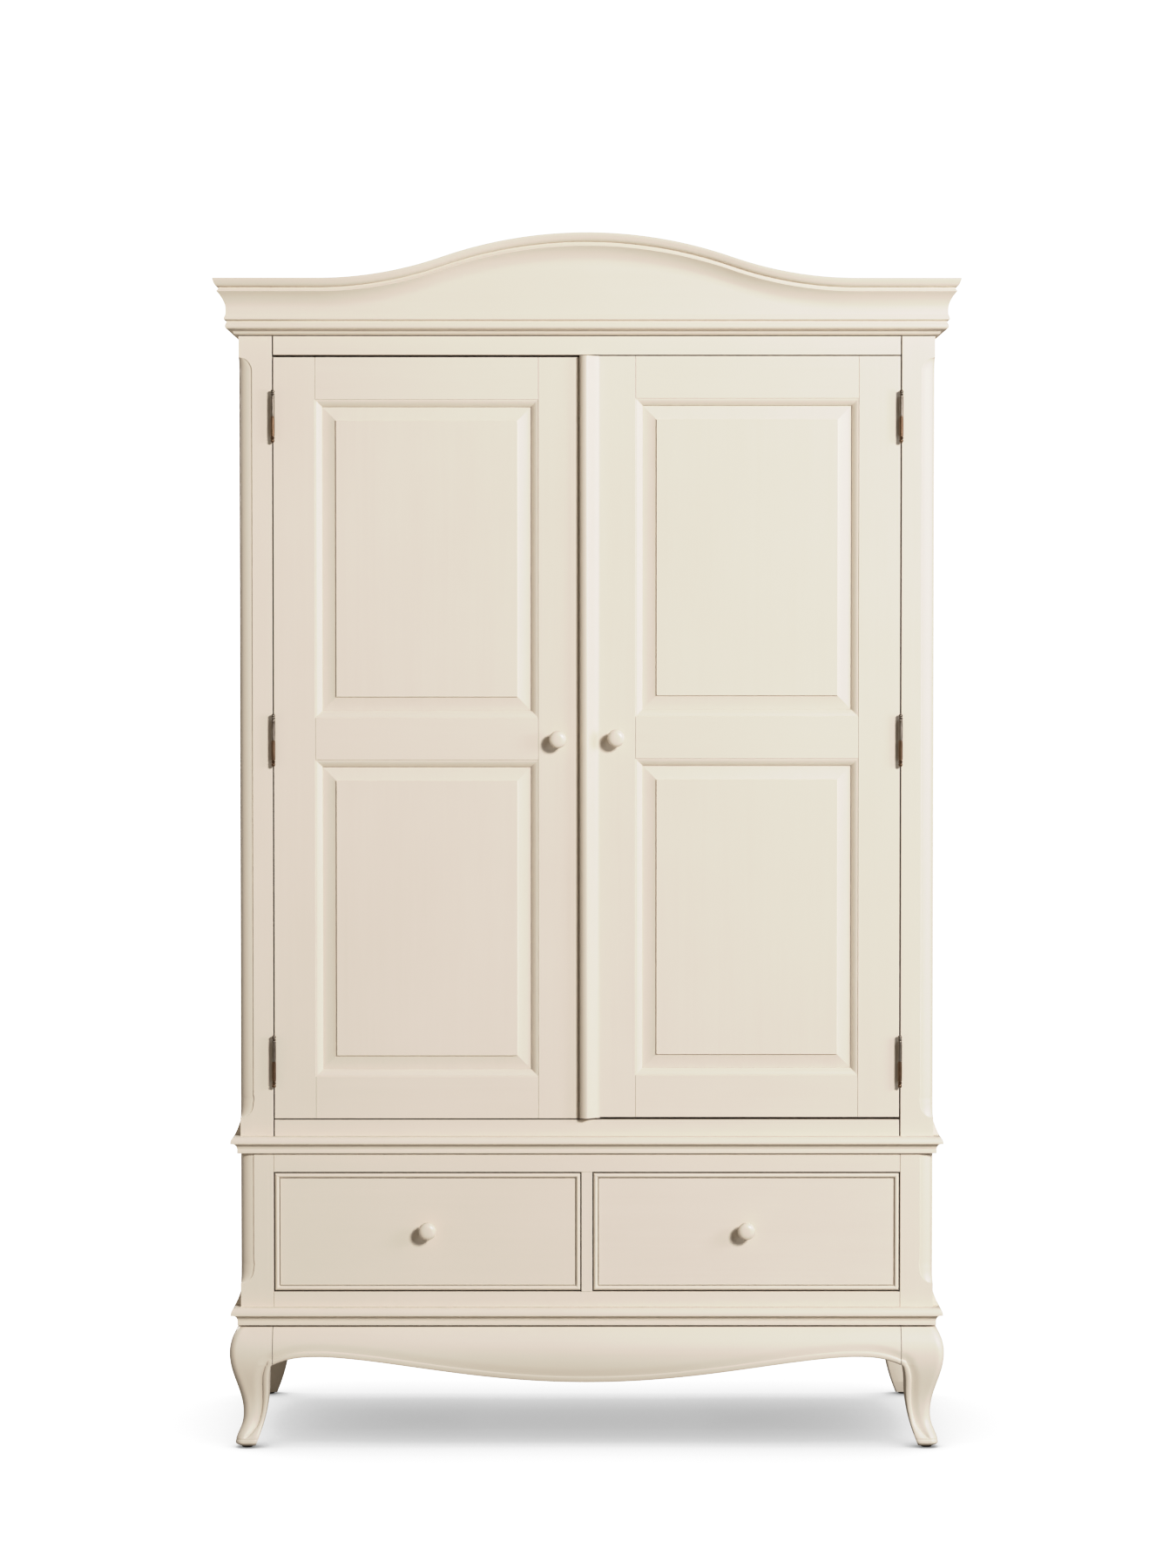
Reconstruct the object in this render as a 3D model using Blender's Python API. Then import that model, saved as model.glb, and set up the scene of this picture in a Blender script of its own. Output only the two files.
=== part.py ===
"""Two-door armoire over two drawers, with an arched cornice and cabriole legs.

Metres, +Z up. The front faces -Y. The origin is on the floor, under the middle of the whole piece.
Everything is at rest: both doors shut and both drawers pushed in.
"""

import math

import bmesh
import bpy
from mathutils import Vector

# ---- Driving dimensions -------------------------------------------------------------------------
CLEAR = 0.0003  # gap between two pieces that touch
CASE_HALF = 0.597  # half the width of the case, to the posts' outer faces
FRONT = -0.2583  # the posts' front faces
BACK = 0.300  # the case's back
POST = 0.057  # a post is this wide and this deep
ROUND_SHARE = 0.62  # depth of a post's rounded corner, as a share of its width
OPENING_HALF = CASE_HALF - POST
SIDE_T = 0.020  # thickness of the side frames
RAIL_T = 0.022  # thickness of the front rails, of the doors and of the drawer fronts
BACK_T = 0.008  # thickness of the back panels

LEG_TOP = 0.2100
BASE_LOW = LEG_TOP + CLEAR
BASE_TOP = 0.2435
WAIST_TOP = 0.5390
MOULDING_H = 0.0275  # height of the moulded edge of the base and waist boards
WAIST_LOW = WAIST_TOP - MOULDING_H
LOWER = (BASE_TOP + CLEAR, WAIST_LOW - CLEAR)  # the lower case, between the two moulded boards
DRAWER_SILL = 0.2704  # top of the rail under the drawers
DRAWER_HEAD = 0.4776  # underside of the rail over the drawers
DOOR_SILL = 0.5680
DOOR_HEAD = 1.8824
POST_TOP = 1.9145
UPPER = (WAIST_TOP + CLEAR, POST_TOP)
CORNICE_LOW = POST_TOP + CLEAR
CORNICE_END = 2.0110  # top of the cornice at its level ends
ARCH_RISE = 0.0772
ARCH_HALF = 0.4600  # the arch starts this far from the middle
ARCH_SHARE = 0.54  # share of that taken by the crown of the arch
INSIDE_X = CASE_HALF - SIDE_T

# Doors: the right one is wider, because its edge carries the rounded strip that covers the gap
DOOR_FACE = FRONT + 0.001
DOOR_H = 1.3085
DOOR_GAP = 0.003  # between a door's edge and its post, where the hinge leaves lie
DOOR_EDGES = {"left": (-0.537, -0.0137, 0.5700), "right": (-0.0115, 0.537, 0.5723)}
PANEL_X = (0.0835, 0.4665)  # a door's panel openings, as distances from the middle of the case
DOOR_RAIL = 0.0725
PANEL_H = (DOOR_H - 3 * DOOR_RAIL) / 2
STICKING = 0.012  # width of the moulded edge round each panel
FIELD_BEVEL = 0.025
STRIP_X = (-0.0125, 0.0225)
STRIP_CREST_X = 0.0
STRIP_PROUD = 0.0170
STRIP_WALL = 0.0085  # the strip's side is upright this far out of the door
KNOB_UP_DOOR = 0.6535
KNOB_X = 0.050

# Hinges
HINGE_Z = (0.669, 1.222, 1.777)
HINGE_X = OPENING_HALF - DOOR_GAP / 2
HINGE_Y = FRONT - 0.0075
BARREL_R = 0.0036
BARREL_HALF = 0.0340
LEAF_T = 0.0009
LEAF_DEEP = 0.0180

# Drawers
DRAWER_X = (0.0112, 0.5380)
DRAWER_Z = (0.2727, 0.4752)
DIVIDER_HALF = 0.0095
BEAD = 0.0092  # width of the bead round a drawer's front
DRAWER_FIELD = 0.0030  # how far the front lies behind the crest of its bead
BOX_X = (0.0150, 0.5345)
BOX_Z = (0.2741, 0.4450)
BOX_BACK = FRONT + 0.480
RUNNER_TOP = BOX_Z[0] - CLEAR
GUIDE_TOP = 0.300
DRAWER_KNOB_Z = 0.3770

# Legs
KNEE_Z, KNEE_OUT = 0.166, 0.0190
ANKLE_Z, ANKLE_OUT = 0.060, -0.0032
TOE_Z, TOE_OUT = 0.010, 0.0095
LEG_TOP_OUT = 0.0040
LEG_FOOT = 0.0042
LEG_STRAIGHT = 0.145  # the inner side is straight above this height
LEG_SHIN = 0.105
LEG_WIDE = 0.055
GLIDE_R = 0.0095

RAIL_Z, RAIL_R = 1.800, 0.0125

EMPTIES = {}


# ---- Materials ----------------------------------------------------------------------------------
def material(name, colour, roughness, metallic=0.0):
    made = bpy.data.materials.new(name)
    made.use_nodes = True
    shader = made.node_tree.nodes["Principled BSDF"]
    shader.inputs["Base Color"].default_value = (*colour, 1.0)
    shader.inputs["Roughness"].default_value = roughness
    shader.inputs["Metallic"].default_value = metallic
    return made


# ---- Making objects -----------------------------------------------------------------------------
def mesh_of(name, points, faces):
    """A mesh with its faces pointing out."""
    mesh = bpy.data.meshes.new(name)
    mesh.from_pydata([tuple(p) for p in points], [], faces)
    shape = bmesh.new()
    shape.from_mesh(mesh)
    bmesh.ops.recalc_face_normals(shape, faces=shape.faces)
    shape.to_mesh(mesh)
    shape.free()
    return mesh


def add(name, points, faces, finish, parent=None, smooth=False):
    """An object from points in world space. Its origin is the parent's, or the middle of its own box."""
    if parent:
        origin = EMPTIES[parent].location
    else:
        spans = [(min(values), max(values)) for values in zip(*points)]
        origin = Vector([(low + high) / 2 for low, high in spans])
    mesh = mesh_of(name, [Vector(p) - origin for p in points], faces)
    mesh.materials.append(finish)
    if smooth:
        mesh.shade_smooth()
        mesh.set_sharp_from_angle(angle=math.radians(35))
    return link(name, mesh, origin, parent)


def link(name, mesh, origin, parent=None):
    obj = bpy.data.objects.new(name, mesh)
    bpy.context.scene.collection.objects.link(obj)
    if parent:
        obj.parent = EMPTIES[parent]
    else:
        obj.location = origin
    return obj


def empty(name, location):
    EMPTIES[name] = bpy.data.objects.new(name, None)
    EMPTIES[name].location = location
    bpy.context.scene.collection.objects.link(EMPTIES[name])


def combine(obj, tool, operation):
    """A Boolean of obj with a tool that stays as a hidden helper."""
    tool.hide_render = True
    tool.display_type = "WIRE"
    boolean = obj.modifiers.new(tool.name, "BOOLEAN")
    boolean.operation = operation
    boolean.solver = "EXACT"
    boolean.object = tool


def united(obj, *tools):
    for tool in tools:
        combine(obj, tool, "UNION")
    return obj


def cut(obj, *tools):
    for tool in tools:
        combine(obj, tool, "DIFFERENCE")
    return obj


# ---- Shapes -------------------------------------------------------------------------------------
def lofted(loops):
    """Points and faces of a closed solid through loops that all have the same number of points."""
    count = len(loops[0])
    points = [p for loop in loops for p in loop]
    faces = [tuple(range(count)), tuple(range(len(points) - count, len(points)))]
    for k in range(len(loops) - 1):
        for i in range(count):
            j = (i + 1) % count
            faces.append((k * count + i, k * count + j, (k + 1) * count + j, (k + 1) * count + i))
    return points, faces


def box(low, high):
    corners = [(low[0], low[1]), (high[0], low[1]), (high[0], high[1]), (low[0], high[1])]
    return lofted([[(x, y, z) for x, y in corners] for z in (low[2], high[2])])


def rectangles(x, z, steps):
    """A solid of upright rectangles, each the outline x, z drawn in by an inset, at a depth y."""
    loops = []
    for inset, y in steps:
        x0, x1, z0, z1 = x[0] + inset, x[1] - inset, z[0] + inset, z[1] - inset
        loops.append([(x0, y, z0), (x1, y, z0), (x1, y, z1), (x0, y, z1)])
    return lofted(loops)


def turned(profile, centre, axis, segments):
    """A turned solid. The profile is (radius, distance along axis) and neither end is on the axis."""
    axis = Vector(axis)
    side = axis.orthogonal().normalized()
    other = axis.cross(side)
    turns = [2 * math.pi * i / segments for i in range(segments)]
    loops = []
    for radius, along in profile:
        middle = Vector(centre) + axis * along
        loops.append([middle + (side * math.cos(a) + other * math.sin(a)) * radius for a in turns])
    return lofted(loops)


def arc(cx, cz, rx, rz, start, end, steps):
    """Points along part of an ellipse, from one angle to another, in degrees."""
    angles = [math.radians(start + (end - start) * k / steps) for k in range(steps + 1)]
    return [(cx + rx * math.cos(a), cz + rz * math.sin(a)) for a in angles]


def framed(xs, zs, holes, rim, walls):
    """A plate of rectangular cells in the XZ plane. Each cell in holes is an opening.

    xs and zs are the cell edges. rim is (front y, back y). walls are the (inset, y) steps of an
    opening's sides from front to back: the first lies on the front face and the last on the back.
    """
    points, index, faces = [], {}, []

    def point(*p):
        key = tuple(round(v, 7) for v in p)
        if key not in index:
            index[key] = len(points)
            points.append(key)
        return index[key]

    def corner(i, k, y, inset):
        """Grid corner i, k, drawn into the opening that it belongs to."""
        x, z = xs[i], zs[k]
        for hi, hk in holes:
            if i in (hi, hi + 1) and k in (hk, hk + 1):
                x += inset if i == hi else -inset
                z += inset if k == hk else -inset
        return point(x, y, z)

    for y, inset in ((rim[0], walls[0][0]), (rim[1], walls[-1][0])):
        for i in range(len(xs) - 1):
            for k in range(len(zs) - 1):
                if (i, k) not in holes:
                    ring = [(i, k), (i + 1, k), (i + 1, k + 1), (i, k + 1)]
                    faces.append([corner(a, b, y, inset) for a, b in ring])
    inset0, inset1 = walls[0][0], walls[-1][0]
    border = [(i, 0) for i in range(len(xs))] + [(len(xs) - 1, k) for k in range(1, len(zs))]
    border += [(i, len(zs) - 1) for i in range(len(xs) - 2, -1, -1)]
    border += [(0, k) for k in range(len(zs) - 2, 0, -1)]
    for a, b in zip(border, border[1:] + border[:1]):
        faces.append([corner(*a, rim[0], inset0), corner(*b, rim[0], inset0),
                      corner(*b, rim[1], inset1), corner(*a, rim[1], inset1)])
    for i, k in holes:
        ring = [(i, k), (i + 1, k), (i + 1, k + 1), (i, k + 1)]
        for (d0, y0), (d1, y1) in zip(walls, walls[1:]):
            for a, b in zip(ring, ring[1:] + ring[:1]):
                faces.append([corner(*a, y0, d0), corner(*b, y0, d0),
                              corner(*b, y1, d1), corner(*a, y1, d1)])
    return points, faces


# ---- Legs, aprons and glides --------------------------------------------------------------------
def ease(t):
    return (1 - math.cos(math.pi * t)) / 2


def leg_out(z):
    """How far the leg's outer face stands out of the case's face at height z."""
    if z >= KNEE_Z:
        t = (LEG_TOP - z) / (LEG_TOP - KNEE_Z)
        return LEG_TOP_OUT + (KNEE_OUT - LEG_TOP_OUT) * math.sin(math.pi / 2 * max(t, 0) ** 0.8)
    if z >= ANKLE_Z:
        return KNEE_OUT + (ANKLE_OUT - KNEE_OUT) * ease((KNEE_Z - z) / (KNEE_Z - ANKLE_Z))
    if z >= TOE_Z:
        t = (ANKLE_Z - z) / (ANKLE_Z - TOE_Z)
        return ANKLE_OUT + (TOE_OUT - ANKLE_OUT) * ease(t**1.3)
    return TOE_OUT - 0.0065 * ((TOE_Z - z) / (TOE_Z - LEG_FOOT)) ** 2


def leg_in(z):
    """How far the leg's inner side lies inside the case's face at height z."""
    if z >= LEG_STRAIGHT:
        return LEG_WIDE
    if z >= LEG_SHIN:
        t = (LEG_STRAIGHT - z) / (LEG_STRAIGHT - LEG_SHIN)
        return LEG_WIDE - 0.0075 * math.sqrt(1 - (1 - t) ** 2)
    t = (LEG_SHIN - z) / (LEG_SHIN - LEG_FOOT)
    return LEG_WIDE - 0.0075 - 0.0225 * t**1.9


def leg(name, side, front, finish):
    """side is -1 left or 1 right. A rear leg has a flat back, so that the case stands to a wall."""
    heights = [LEG_TOP, 0.200, 0.186, 0.168, 0.152, 0.145, 0.137, 0.125, 0.105, 0.090]
    heights += [0.075, 0.060, 0.045, 0.030, 0.019, TOE_Z, 0.006, LEG_FOOT]
    loops = []
    for z in heights:
        out, inner = leg_out(z), leg_in(z)
        y_out, y_face, y_in = (FRONT - out, FRONT, inner) if front else (BACK, BACK, -inner)
        round_x = 0.012 if front else 0.004
        x_out, x_in = CASE_HALF + out, CASE_HALF - inner
        toward = 1 if front else -1
        loop = [(x_in, y_face + y_in), (x_in, y_out)]
        for dx, dy in arc(x_out - round_x, 0, round_x, round_x, 90, 0, 3):
            loop.append((dx, y_out + toward * (round_x - dy)))
        loop.append((x_out, y_face + y_in))
        loops.append([(side * x, y, z) for x, y in loop])
    return add(name, *lofted(loops), finish, smooth=True)


def glide(name, side, front, finish):
    middle = (LEG_WIDE - 0.030 - 0.003) / 2 - 0.001
    x = side * (CASE_HALF - middle)
    y = FRONT + middle if front else BACK - 0.0125
    profile = [(GLIDE_R - 0.0005, 0.0), (GLIDE_R, 0.0006), (GLIDE_R, LEG_FOOT - CLEAR)]
    return add(name, *turned(profile, (x, y, 0), (0, 0, 1), 12), finish)


def apron_edge(x, half):
    """Height of the front apron's lower edge: two shoulders with a belly between them."""
    shoulder, high, low = 0.853 * half, 0.1596, 0.1146
    if abs(x) <= shoulder:
        return high - (high - low) * ease((1 - abs(x) / shoulder) ** 0.8)
    return high - 0.0143 * ((abs(x) - shoulder) / (half - shoulder)) ** 2.7


def apron(name, half, stations, edge, place, finish):
    """A bowed board. edge(along, half) is its lower edge and place(along, out, z) puts a point of it."""
    loops = []
    for k in range(stations + 1):
        along = half * (2 * k / stations - 1)
        low = edge(along, half)
        heights = [LEG_TOP - (LEG_TOP - low) * s for s in (0, 0.12, 0.3, 0.55, 0.78, 1)]
        loop = [place(along, leg_out(z), z) for z in heights]
        loop += [place(along, -0.018, low), place(along, -0.018, LEG_TOP)]
        loops.append(loop)
    return add(name, *lofted(loops), finish, smooth=True)


def build_base(paint, dark):
    for side, word in ((-1, "left"), (1, "right")):
        for front, where in ((True, "front"), (False, "rear")):
            leg(f"leg_{where}_{word}", side, front, paint)
            glide(f"glide_{where}_{word}", side, front, dark)
    half = CASE_HALF - LEG_WIDE - CLEAR
    apron("apron_front", half, 22, apron_edge, lambda a, out, z: (a, FRONT - out, z), paint)
    y_low, y_high = FRONT + LEG_WIDE + CLEAR, BACK - LEG_WIDE - CLEAR
    middle, half = (y_low + y_high) / 2, (y_high - y_low) / 2
    for side, word in ((-1, "left"), (1, "right")):
        apron(f"apron_{word}", half, 12, lambda a, h: 0.1453 + 0.0143 * ease(1 - abs(a) / h) ** 0.5,
              lambda a, out, z, side=side: (side * (CASE_HALF + out), middle + a, z), paint)
    low = (-(CASE_HALF - LEG_WIDE - CLEAR), BACK - 0.020, 0.1453)
    add("apron_rear", *box(low, (-low[0], BACK, LEG_TOP)), paint)


# ---- Moulded boards and cornice -----------------------------------------------------------------
def moulded_edge(top):
    """(how far out of the case, height) up the edge of the base or waist board."""
    edge = [(0.0055, top - MOULDING_H), (0.0055, top - 0.0225)]
    edge += arc(0.0135, top - 0.0225, 0.0080, 0.0080, 180, 90, 3)[1:]
    edge += arc(0.0110, top - 0.0125, 0.0055, 0.0125, 0, 90, 3)
    return edge


def moulded_board(name, steps, top, finish):
    """A board with a moulded edge on the front and both sides, and a cove up each side of the case."""
    loops = []
    for out, z in steps:
        x, y = CASE_HALF + out, FRONT - out
        loops.append([(-x, y, z), (x, y, z), (x, BACK, z), (-x, BACK, z)])
    board = add(name, *lofted(loops), finish)
    coves = []
    for side in (-1, 1):
        hollow = [(0.0010 + 0.0115 * t, 0.0270 * (1 - t) ** 1.3) for t in (0, 0.2, 0.4, 0.6, 0.8, 1)]
        outline = [(CLEAR, 0.0270), *hollow, (0.0125, -0.002), (CLEAR, -0.002)]
        loops = [[(side * (CASE_HALF + out), y, top + up) for out, up in outline]
                 for y in (FRONT + 0.002, BACK - 0.001)]
        coves.append(add(f"{name}_cove_{side}", *lofted(loops), finish))
    return united(board, *coves)


def build_boards(paint):
    groove = [(-0.003, BASE_LOW), (-0.003, BASE_TOP - 0.0290), (0.0055, BASE_TOP - 0.0280)]
    moulded_board("base_board", groove + moulded_edge(BASE_TOP)[1:], BASE_TOP, paint)
    moulded_board("waist_board", moulded_edge(WAIST_TOP), WAIST_TOP, paint)


def arch(x):
    """How far the cornice's top rises over its level ends: a crown between two hollows, all true arcs."""
    turn = 2 * math.atan(ARCH_RISE / ARCH_HALF)
    radii = ARCH_HALF / math.sin(turn)
    crown, hollow = radii * ARCH_SHARE, radii * (1 - ARCH_SHARE)
    x = abs(x)
    if x <= crown * math.sin(turn):
        return ARCH_RISE - crown + math.sqrt(crown**2 - x**2)
    if x < ARCH_HALF:
        return hollow - math.sqrt(hollow**2 - (ARCH_HALF - x) ** 2)
    return 0.0


def cornice_section(height):
    """(how far out of the case, height over its underside) round the cornice, for one top height."""
    low = [(-0.022, 0.0), (0.0015, 0.0), (0.0040, 0.0055), (0.0095, 0.0080), (0.0180, 0.0100)]
    low += [(0.0200, 0.0130), (0.0200, 0.0190), (0.0185, 0.0232), (0.0217, 0.0255), (0.0217, 0.0290)]
    low += [(0.0191, 0.0400)]
    hollow = arc(0.0328, -0.0545, 0.0137, 0.0265, 180, 90, 3)
    high = hollow + [(0.0345, -0.0240), (0.0345, -0.0180), (0.0325, -0.0155)]
    high += arc(0.0325, -0.0057, 0.0092, 0.0095, -70, 0, 2) + [(0.0417, 0.0), (-0.022, 0.0)]
    return low + [(out, height + up) for out, up in high]


def build_cornice(paint):
    end = CORNICE_END - CORNICE_LOW
    loops = []
    level = cornice_section(end)
    for side in (-1, 1):
        back = [(side * (CASE_HALF + out), BACK, CORNICE_LOW + up) for out, up in level]
        mitre = [(side * (CASE_HALF + out), FRONT - out, CORNICE_LOW + up) for out, up in level]
        loops += [back, mitre] if side < 0 else [mitre, back]
    front = []
    stations = 18
    for k in range(stations + 1):
        x = ARCH_HALF * (2 * k / stations - 1)
        section = cornice_section(end + arch(x))
        front.append([(x, FRONT - out, CORNICE_LOW + up) for out, up in section])
    loops[2:2] = front
    add("cornice", *lofted(loops), paint, smooth=True)


# ---- Case ---------------------------------------------------------------------------------------
def post_section(side, width):
    """A square post with its outer front corner rounded over this width, and a small step at each end."""
    step = 0.068 * width
    radius = width - step
    deep = ROUND_SHARE * radius
    corner_x, corner_y = CASE_HALF - width, FRONT + step + deep
    loop = [(OPENING_HALF, FRONT + POST), (OPENING_HALF, FRONT), (corner_x, FRONT)]
    loop += [(x, 2 * corner_y - y) for x, y in arc(corner_x, corner_y, radius, deep, 90, 0, 4)]
    loop += [(CASE_HALF, corner_y), (CASE_HALF, FRONT + POST)]
    return [(side * x, y) for x, y in loop]


def post(name, side, low, high, rounded, finish):
    """rounded is the two heights between which the corner is round; it dies away in a curve beyond."""
    width, least, run = 0.0225, 0.0006, 0.024
    fades = (1.0, 0.85, 0.5, 0.0)
    widths = [max(width * math.sqrt(1 - t * t), least) for t in fades]
    sections = [(rounded[0] - run * t, w) for t, w in zip(fades, widths)]
    sections += [(rounded[1] + run * t, w) for t, w in zip(fades[::-1], widths[::-1])]
    sections = [(z, w) for z, w in sections if low < z < high]
    sections = [(low, sections[0][1])] + sections + [(high, sections[-1][1])]
    loops = [[(x, y, z) for x, y in post_section(side, w)] for z, w in sections]
    return add(name, *lofted(loops), finish)


def build_posts(paint):
    """The rounding of the lower posts runs out into the board above them."""
    for side, word in ((-1, "left"), (1, "right")):
        post(f"lower_post_{word}", side, LOWER[0], LOWER[1], (0.3090, LOWER[1] + 0.05), paint)
        post(f"upper_post_{word}", side, UPPER[0], POST_TOP, (0.5950, 1.8540), paint)


def side_frame(name, side, rails, finish):
    """A side of the case, in one piece: a frame round panels that lie a little below its face.

    rails are the heights of the lower and upper edge of each rail, from the bottom up.
    """
    front, face, inner = FRONT + POST + CLEAR, side * CASE_HALF, side * INSIDE_X
    sunk, bevel = face - side * 0.007, 0.010
    holes = [(1, 1 + 2 * k) for k in range(len(rails) // 2 - 1)]
    walls = [(0.0, face), (bevel, sunk), (bevel, inner)]
    points, faces = framed([front, front + 0.050, BACK - 0.075, BACK], rails, holes, (face, inner), walls)
    frame = add(name, [(across, along, z) for along, across, z in points], faces, finish)
    x0, x1 = sorted((inner + side * CLEAR, sunk))
    low, high = (x0, front + 0.03, rails[0] + 0.03), (x1, BACK - 0.03, rails[-1] - 0.03)
    return united(frame, add(f"{name}_panel", *box(low, high), finish))


def build_sides(paint, bare):
    """The lower sides carry a runner under each drawer and a guide beside it."""
    back = BACK - BACK_T - 0.001
    for side, word in ((-1, "left"), (1, "right")):
        upper_rails = [UPPER[0], UPPER[0] + 0.090, 1.1900, 1.2620, UPPER[1] - 0.090, UPPER[1]]
        side_frame(f"upper_side_{word}", side, upper_rails, paint)
        lower_rails = [LOWER[0], LOWER[0] + 0.055, LOWER[1] - 0.045, LOWER[1]]
        frame = side_frame(f"lower_side_{word}", side, lower_rails, paint)
        for part, inner, top in (("runner", 0.5150, RUNNER_TOP), ("guide", 0.5365, GUIDE_TOP)):
            x0, x1 = sorted((side * (INSIDE_X + 0.001), side * inner))
            low, high = (x0, FRONT + POST + 0.001, LOWER[0] + 0.001), (x1, back, top)
            united(frame, add(f"{part}_{word}", *box(low, high), bare))


def build_rails(paint, bare):
    """The rails across the front, and the divider between the drawers with its runner and guide."""
    inside = FRONT + RAIL_T
    half = OPENING_HALF - CLEAR
    add("drawer_rail_bottom", *box((-half, FRONT, LOWER[0]), (half, inside, DRAWER_SILL)), paint)
    add("drawer_rail_top", *box((-half, FRONT, DRAWER_HEAD), (half, inside, LOWER[1])), paint)
    half = OPENING_HALF - 0.0014
    add("door_rail_bottom", *box((-half, FRONT, UPPER[0]), (half, inside, DOOR_SILL)), paint)
    add("door_rail_top", *box((-half, FRONT, DOOR_HEAD), (half, inside, UPPER[1])), paint)
    low, high = DRAWER_SILL + CLEAR, DRAWER_HEAD - CLEAR
    half, back = DIVIDER_HALF, BACK - BACK_T - 0.001
    divider = add("drawer_divider", *box((-half, FRONT, low), (half, inside, high)), paint)
    guide = box((0.001 - half, FRONT + 0.010, low + 0.001), (half - 0.001, back, GUIDE_TOP))
    runner = box((-0.030, inside + 0.001, LOWER[0]), (0.030, back - 0.0005, RUNNER_TOP))
    united(divider, add("divider_guide", *guide, bare), add("divider_runner", *runner, bare))


def build_back_and_top(bare):
    half, back = INSIDE_X - CLEAR, BACK - BACK_T
    add("lower_back", *box((-half, back, LOWER[0]), (half, BACK, LOWER[1])), bare)
    add("upper_back", *box((-half, back, UPPER[0]), (half, BACK, UPPER[1])), bare)
    low, high = (-half, FRONT + RAIL_T + 0.0015, POST_TOP - 0.018), (half, back - CLEAR, POST_TOP)
    board = add("upper_top", *box(low, high), bare)
    for side in (-1, 1):
        x0, x1 = sorted((side * (OPENING_HALF - 0.001), side * CASE_HALF))
        low, high = (x0, FRONT - 0.01, POST_TOP - 0.1), (x1, FRONT + POST + CLEAR, POST_TOP + 0.1)
        cut(board, add(f"post_notch_{side}", *box(low, high), bare))


def build_hanging_rail(steel):
    reach = INSIDE_X - 0.004
    x = reach - 0.0005
    tube = turned([(RAIL_R, -x), (RAIL_R, x)], (0, 0.020, RAIL_Z), (1, 0, 0), 20)
    add("hanging_rail", *tube, steel, smooth=True)
    for side, word in ((-1, "left"), (1, "right")):
        profile = [(RAIL_R + 0.0004, 0.0038), (RAIL_R + 0.0004, 0.016), (0.0160, 0.016), (0.0165, 0.006),
                   (0.0260, 0.003), (0.0260, CLEAR)]
        cup = turned(profile, (side * INSIDE_X, 0.020, RAIL_Z), (-side, 0, 0), 20)
        add(f"rail_socket_{word}", *cup, steel, smooth=True)


# ---- Doors --------------------------------------------------------------------------------------
def knob(name, x, face, z, finish, parent):
    """A turned wooden knob that stands on a face looking to -Y."""
    profile = [(0.0090, 0.0), (0.0088, 0.0016), (0.0066, 0.0038), (0.0060, 0.0085), (0.0085, 0.0125)]
    profile += [(0.0135, 0.0155), (0.0150, 0.0200), (0.0138, 0.0245), (0.0095, 0.0272), (0.0030, 0.0282)]
    return add(name, *turned(profile, (x, face - CLEAR, z), (0, -1, 0), 16), finish, parent, smooth=True)


def door(word, side, paint):
    x0, x1, low = DOOR_EDGES[word]
    body = f"{word}_door_axis"
    back = DOOR_FACE + RAIL_T
    ends = sorted((side * PANEL_X[0], side * PANEL_X[1]))
    zs = [low, low + DOOR_RAIL, low + DOOR_RAIL + PANEL_H]
    zs += [zs[2] + DOOR_RAIL, zs[2] + DOOR_RAIL + PANEL_H, low + DOOR_H]
    walls = [(0.0, DOOR_FACE), (0.0020, DOOR_FACE + 0.0015), (0.0075, DOOR_FACE + 0.0030)]
    walls += [(STICKING, DOOR_FACE + 0.0075), (STICKING, DOOR_FACE + 0.0092), (0.003, DOOR_FACE + 0.0092)]
    walls += [(0.003, DOOR_FACE + 0.0162), (STICKING, DOOR_FACE + 0.0162), (STICKING, back)]
    shape = framed([x0, *ends, x1], zs, [(1, 1), (1, 3)], (DOOR_FACE, back), walls)
    frame = add(f"{word}_door_frame", *shape, paint, body)
    if word == "right":
        half_x = STRIP_CREST_X - STRIP_X[0], STRIP_X[1] - STRIP_CREST_X
        crest = arc(STRIP_CREST_X, STRIP_WALL, half_x[0], STRIP_PROUD - STRIP_WALL, 180, 90, 4)
        shares = [k / 6 for k in range(1, 7)]
        crest += [(STRIP_CREST_X + half_x[1] * t, STRIP_PROUD * (1 - ease(t))) for t in shares]
        outline = [(x, DOOR_FACE - up) for x, up in crest]
        outline += [(STRIP_X[1], DOOR_FACE + 0.002), (STRIP_X[0], DOOR_FACE + 0.002)]
        loops = [[(x, y, z) for x, y in outline] for z in (low - 0.0013, low + DOOR_H)]
        united(frame, add("meeting_strip", *lofted(loops), paint, body))
    for where, z in (("lower", zs[1]), ("upper", zs[3])):
        inset = 0.0045
        panel_x, panel_z = (ends[0] + inset, ends[1] - inset), (z + inset, z + PANEL_H - inset)
        seen = STICKING - inset
        steps = [(0.0, DOOR_FACE + 0.0158), (0.0, DOOR_FACE + 0.0096), (seen, DOOR_FACE + 0.0096)]
        field = seen + FIELD_BEVEL
        steps += [(field, DOOR_FACE + 0.0028), (field + 0.0006, DOOR_FACE + 0.0012)]
        add(f"{word}_door_panel_{where}", *rectangles(panel_x, panel_z, steps), paint, body)
    knob(f"{word}_door_knob", side * KNOB_X, DOOR_FACE, low + KNOB_UP_DOOR, paint, body)


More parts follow.
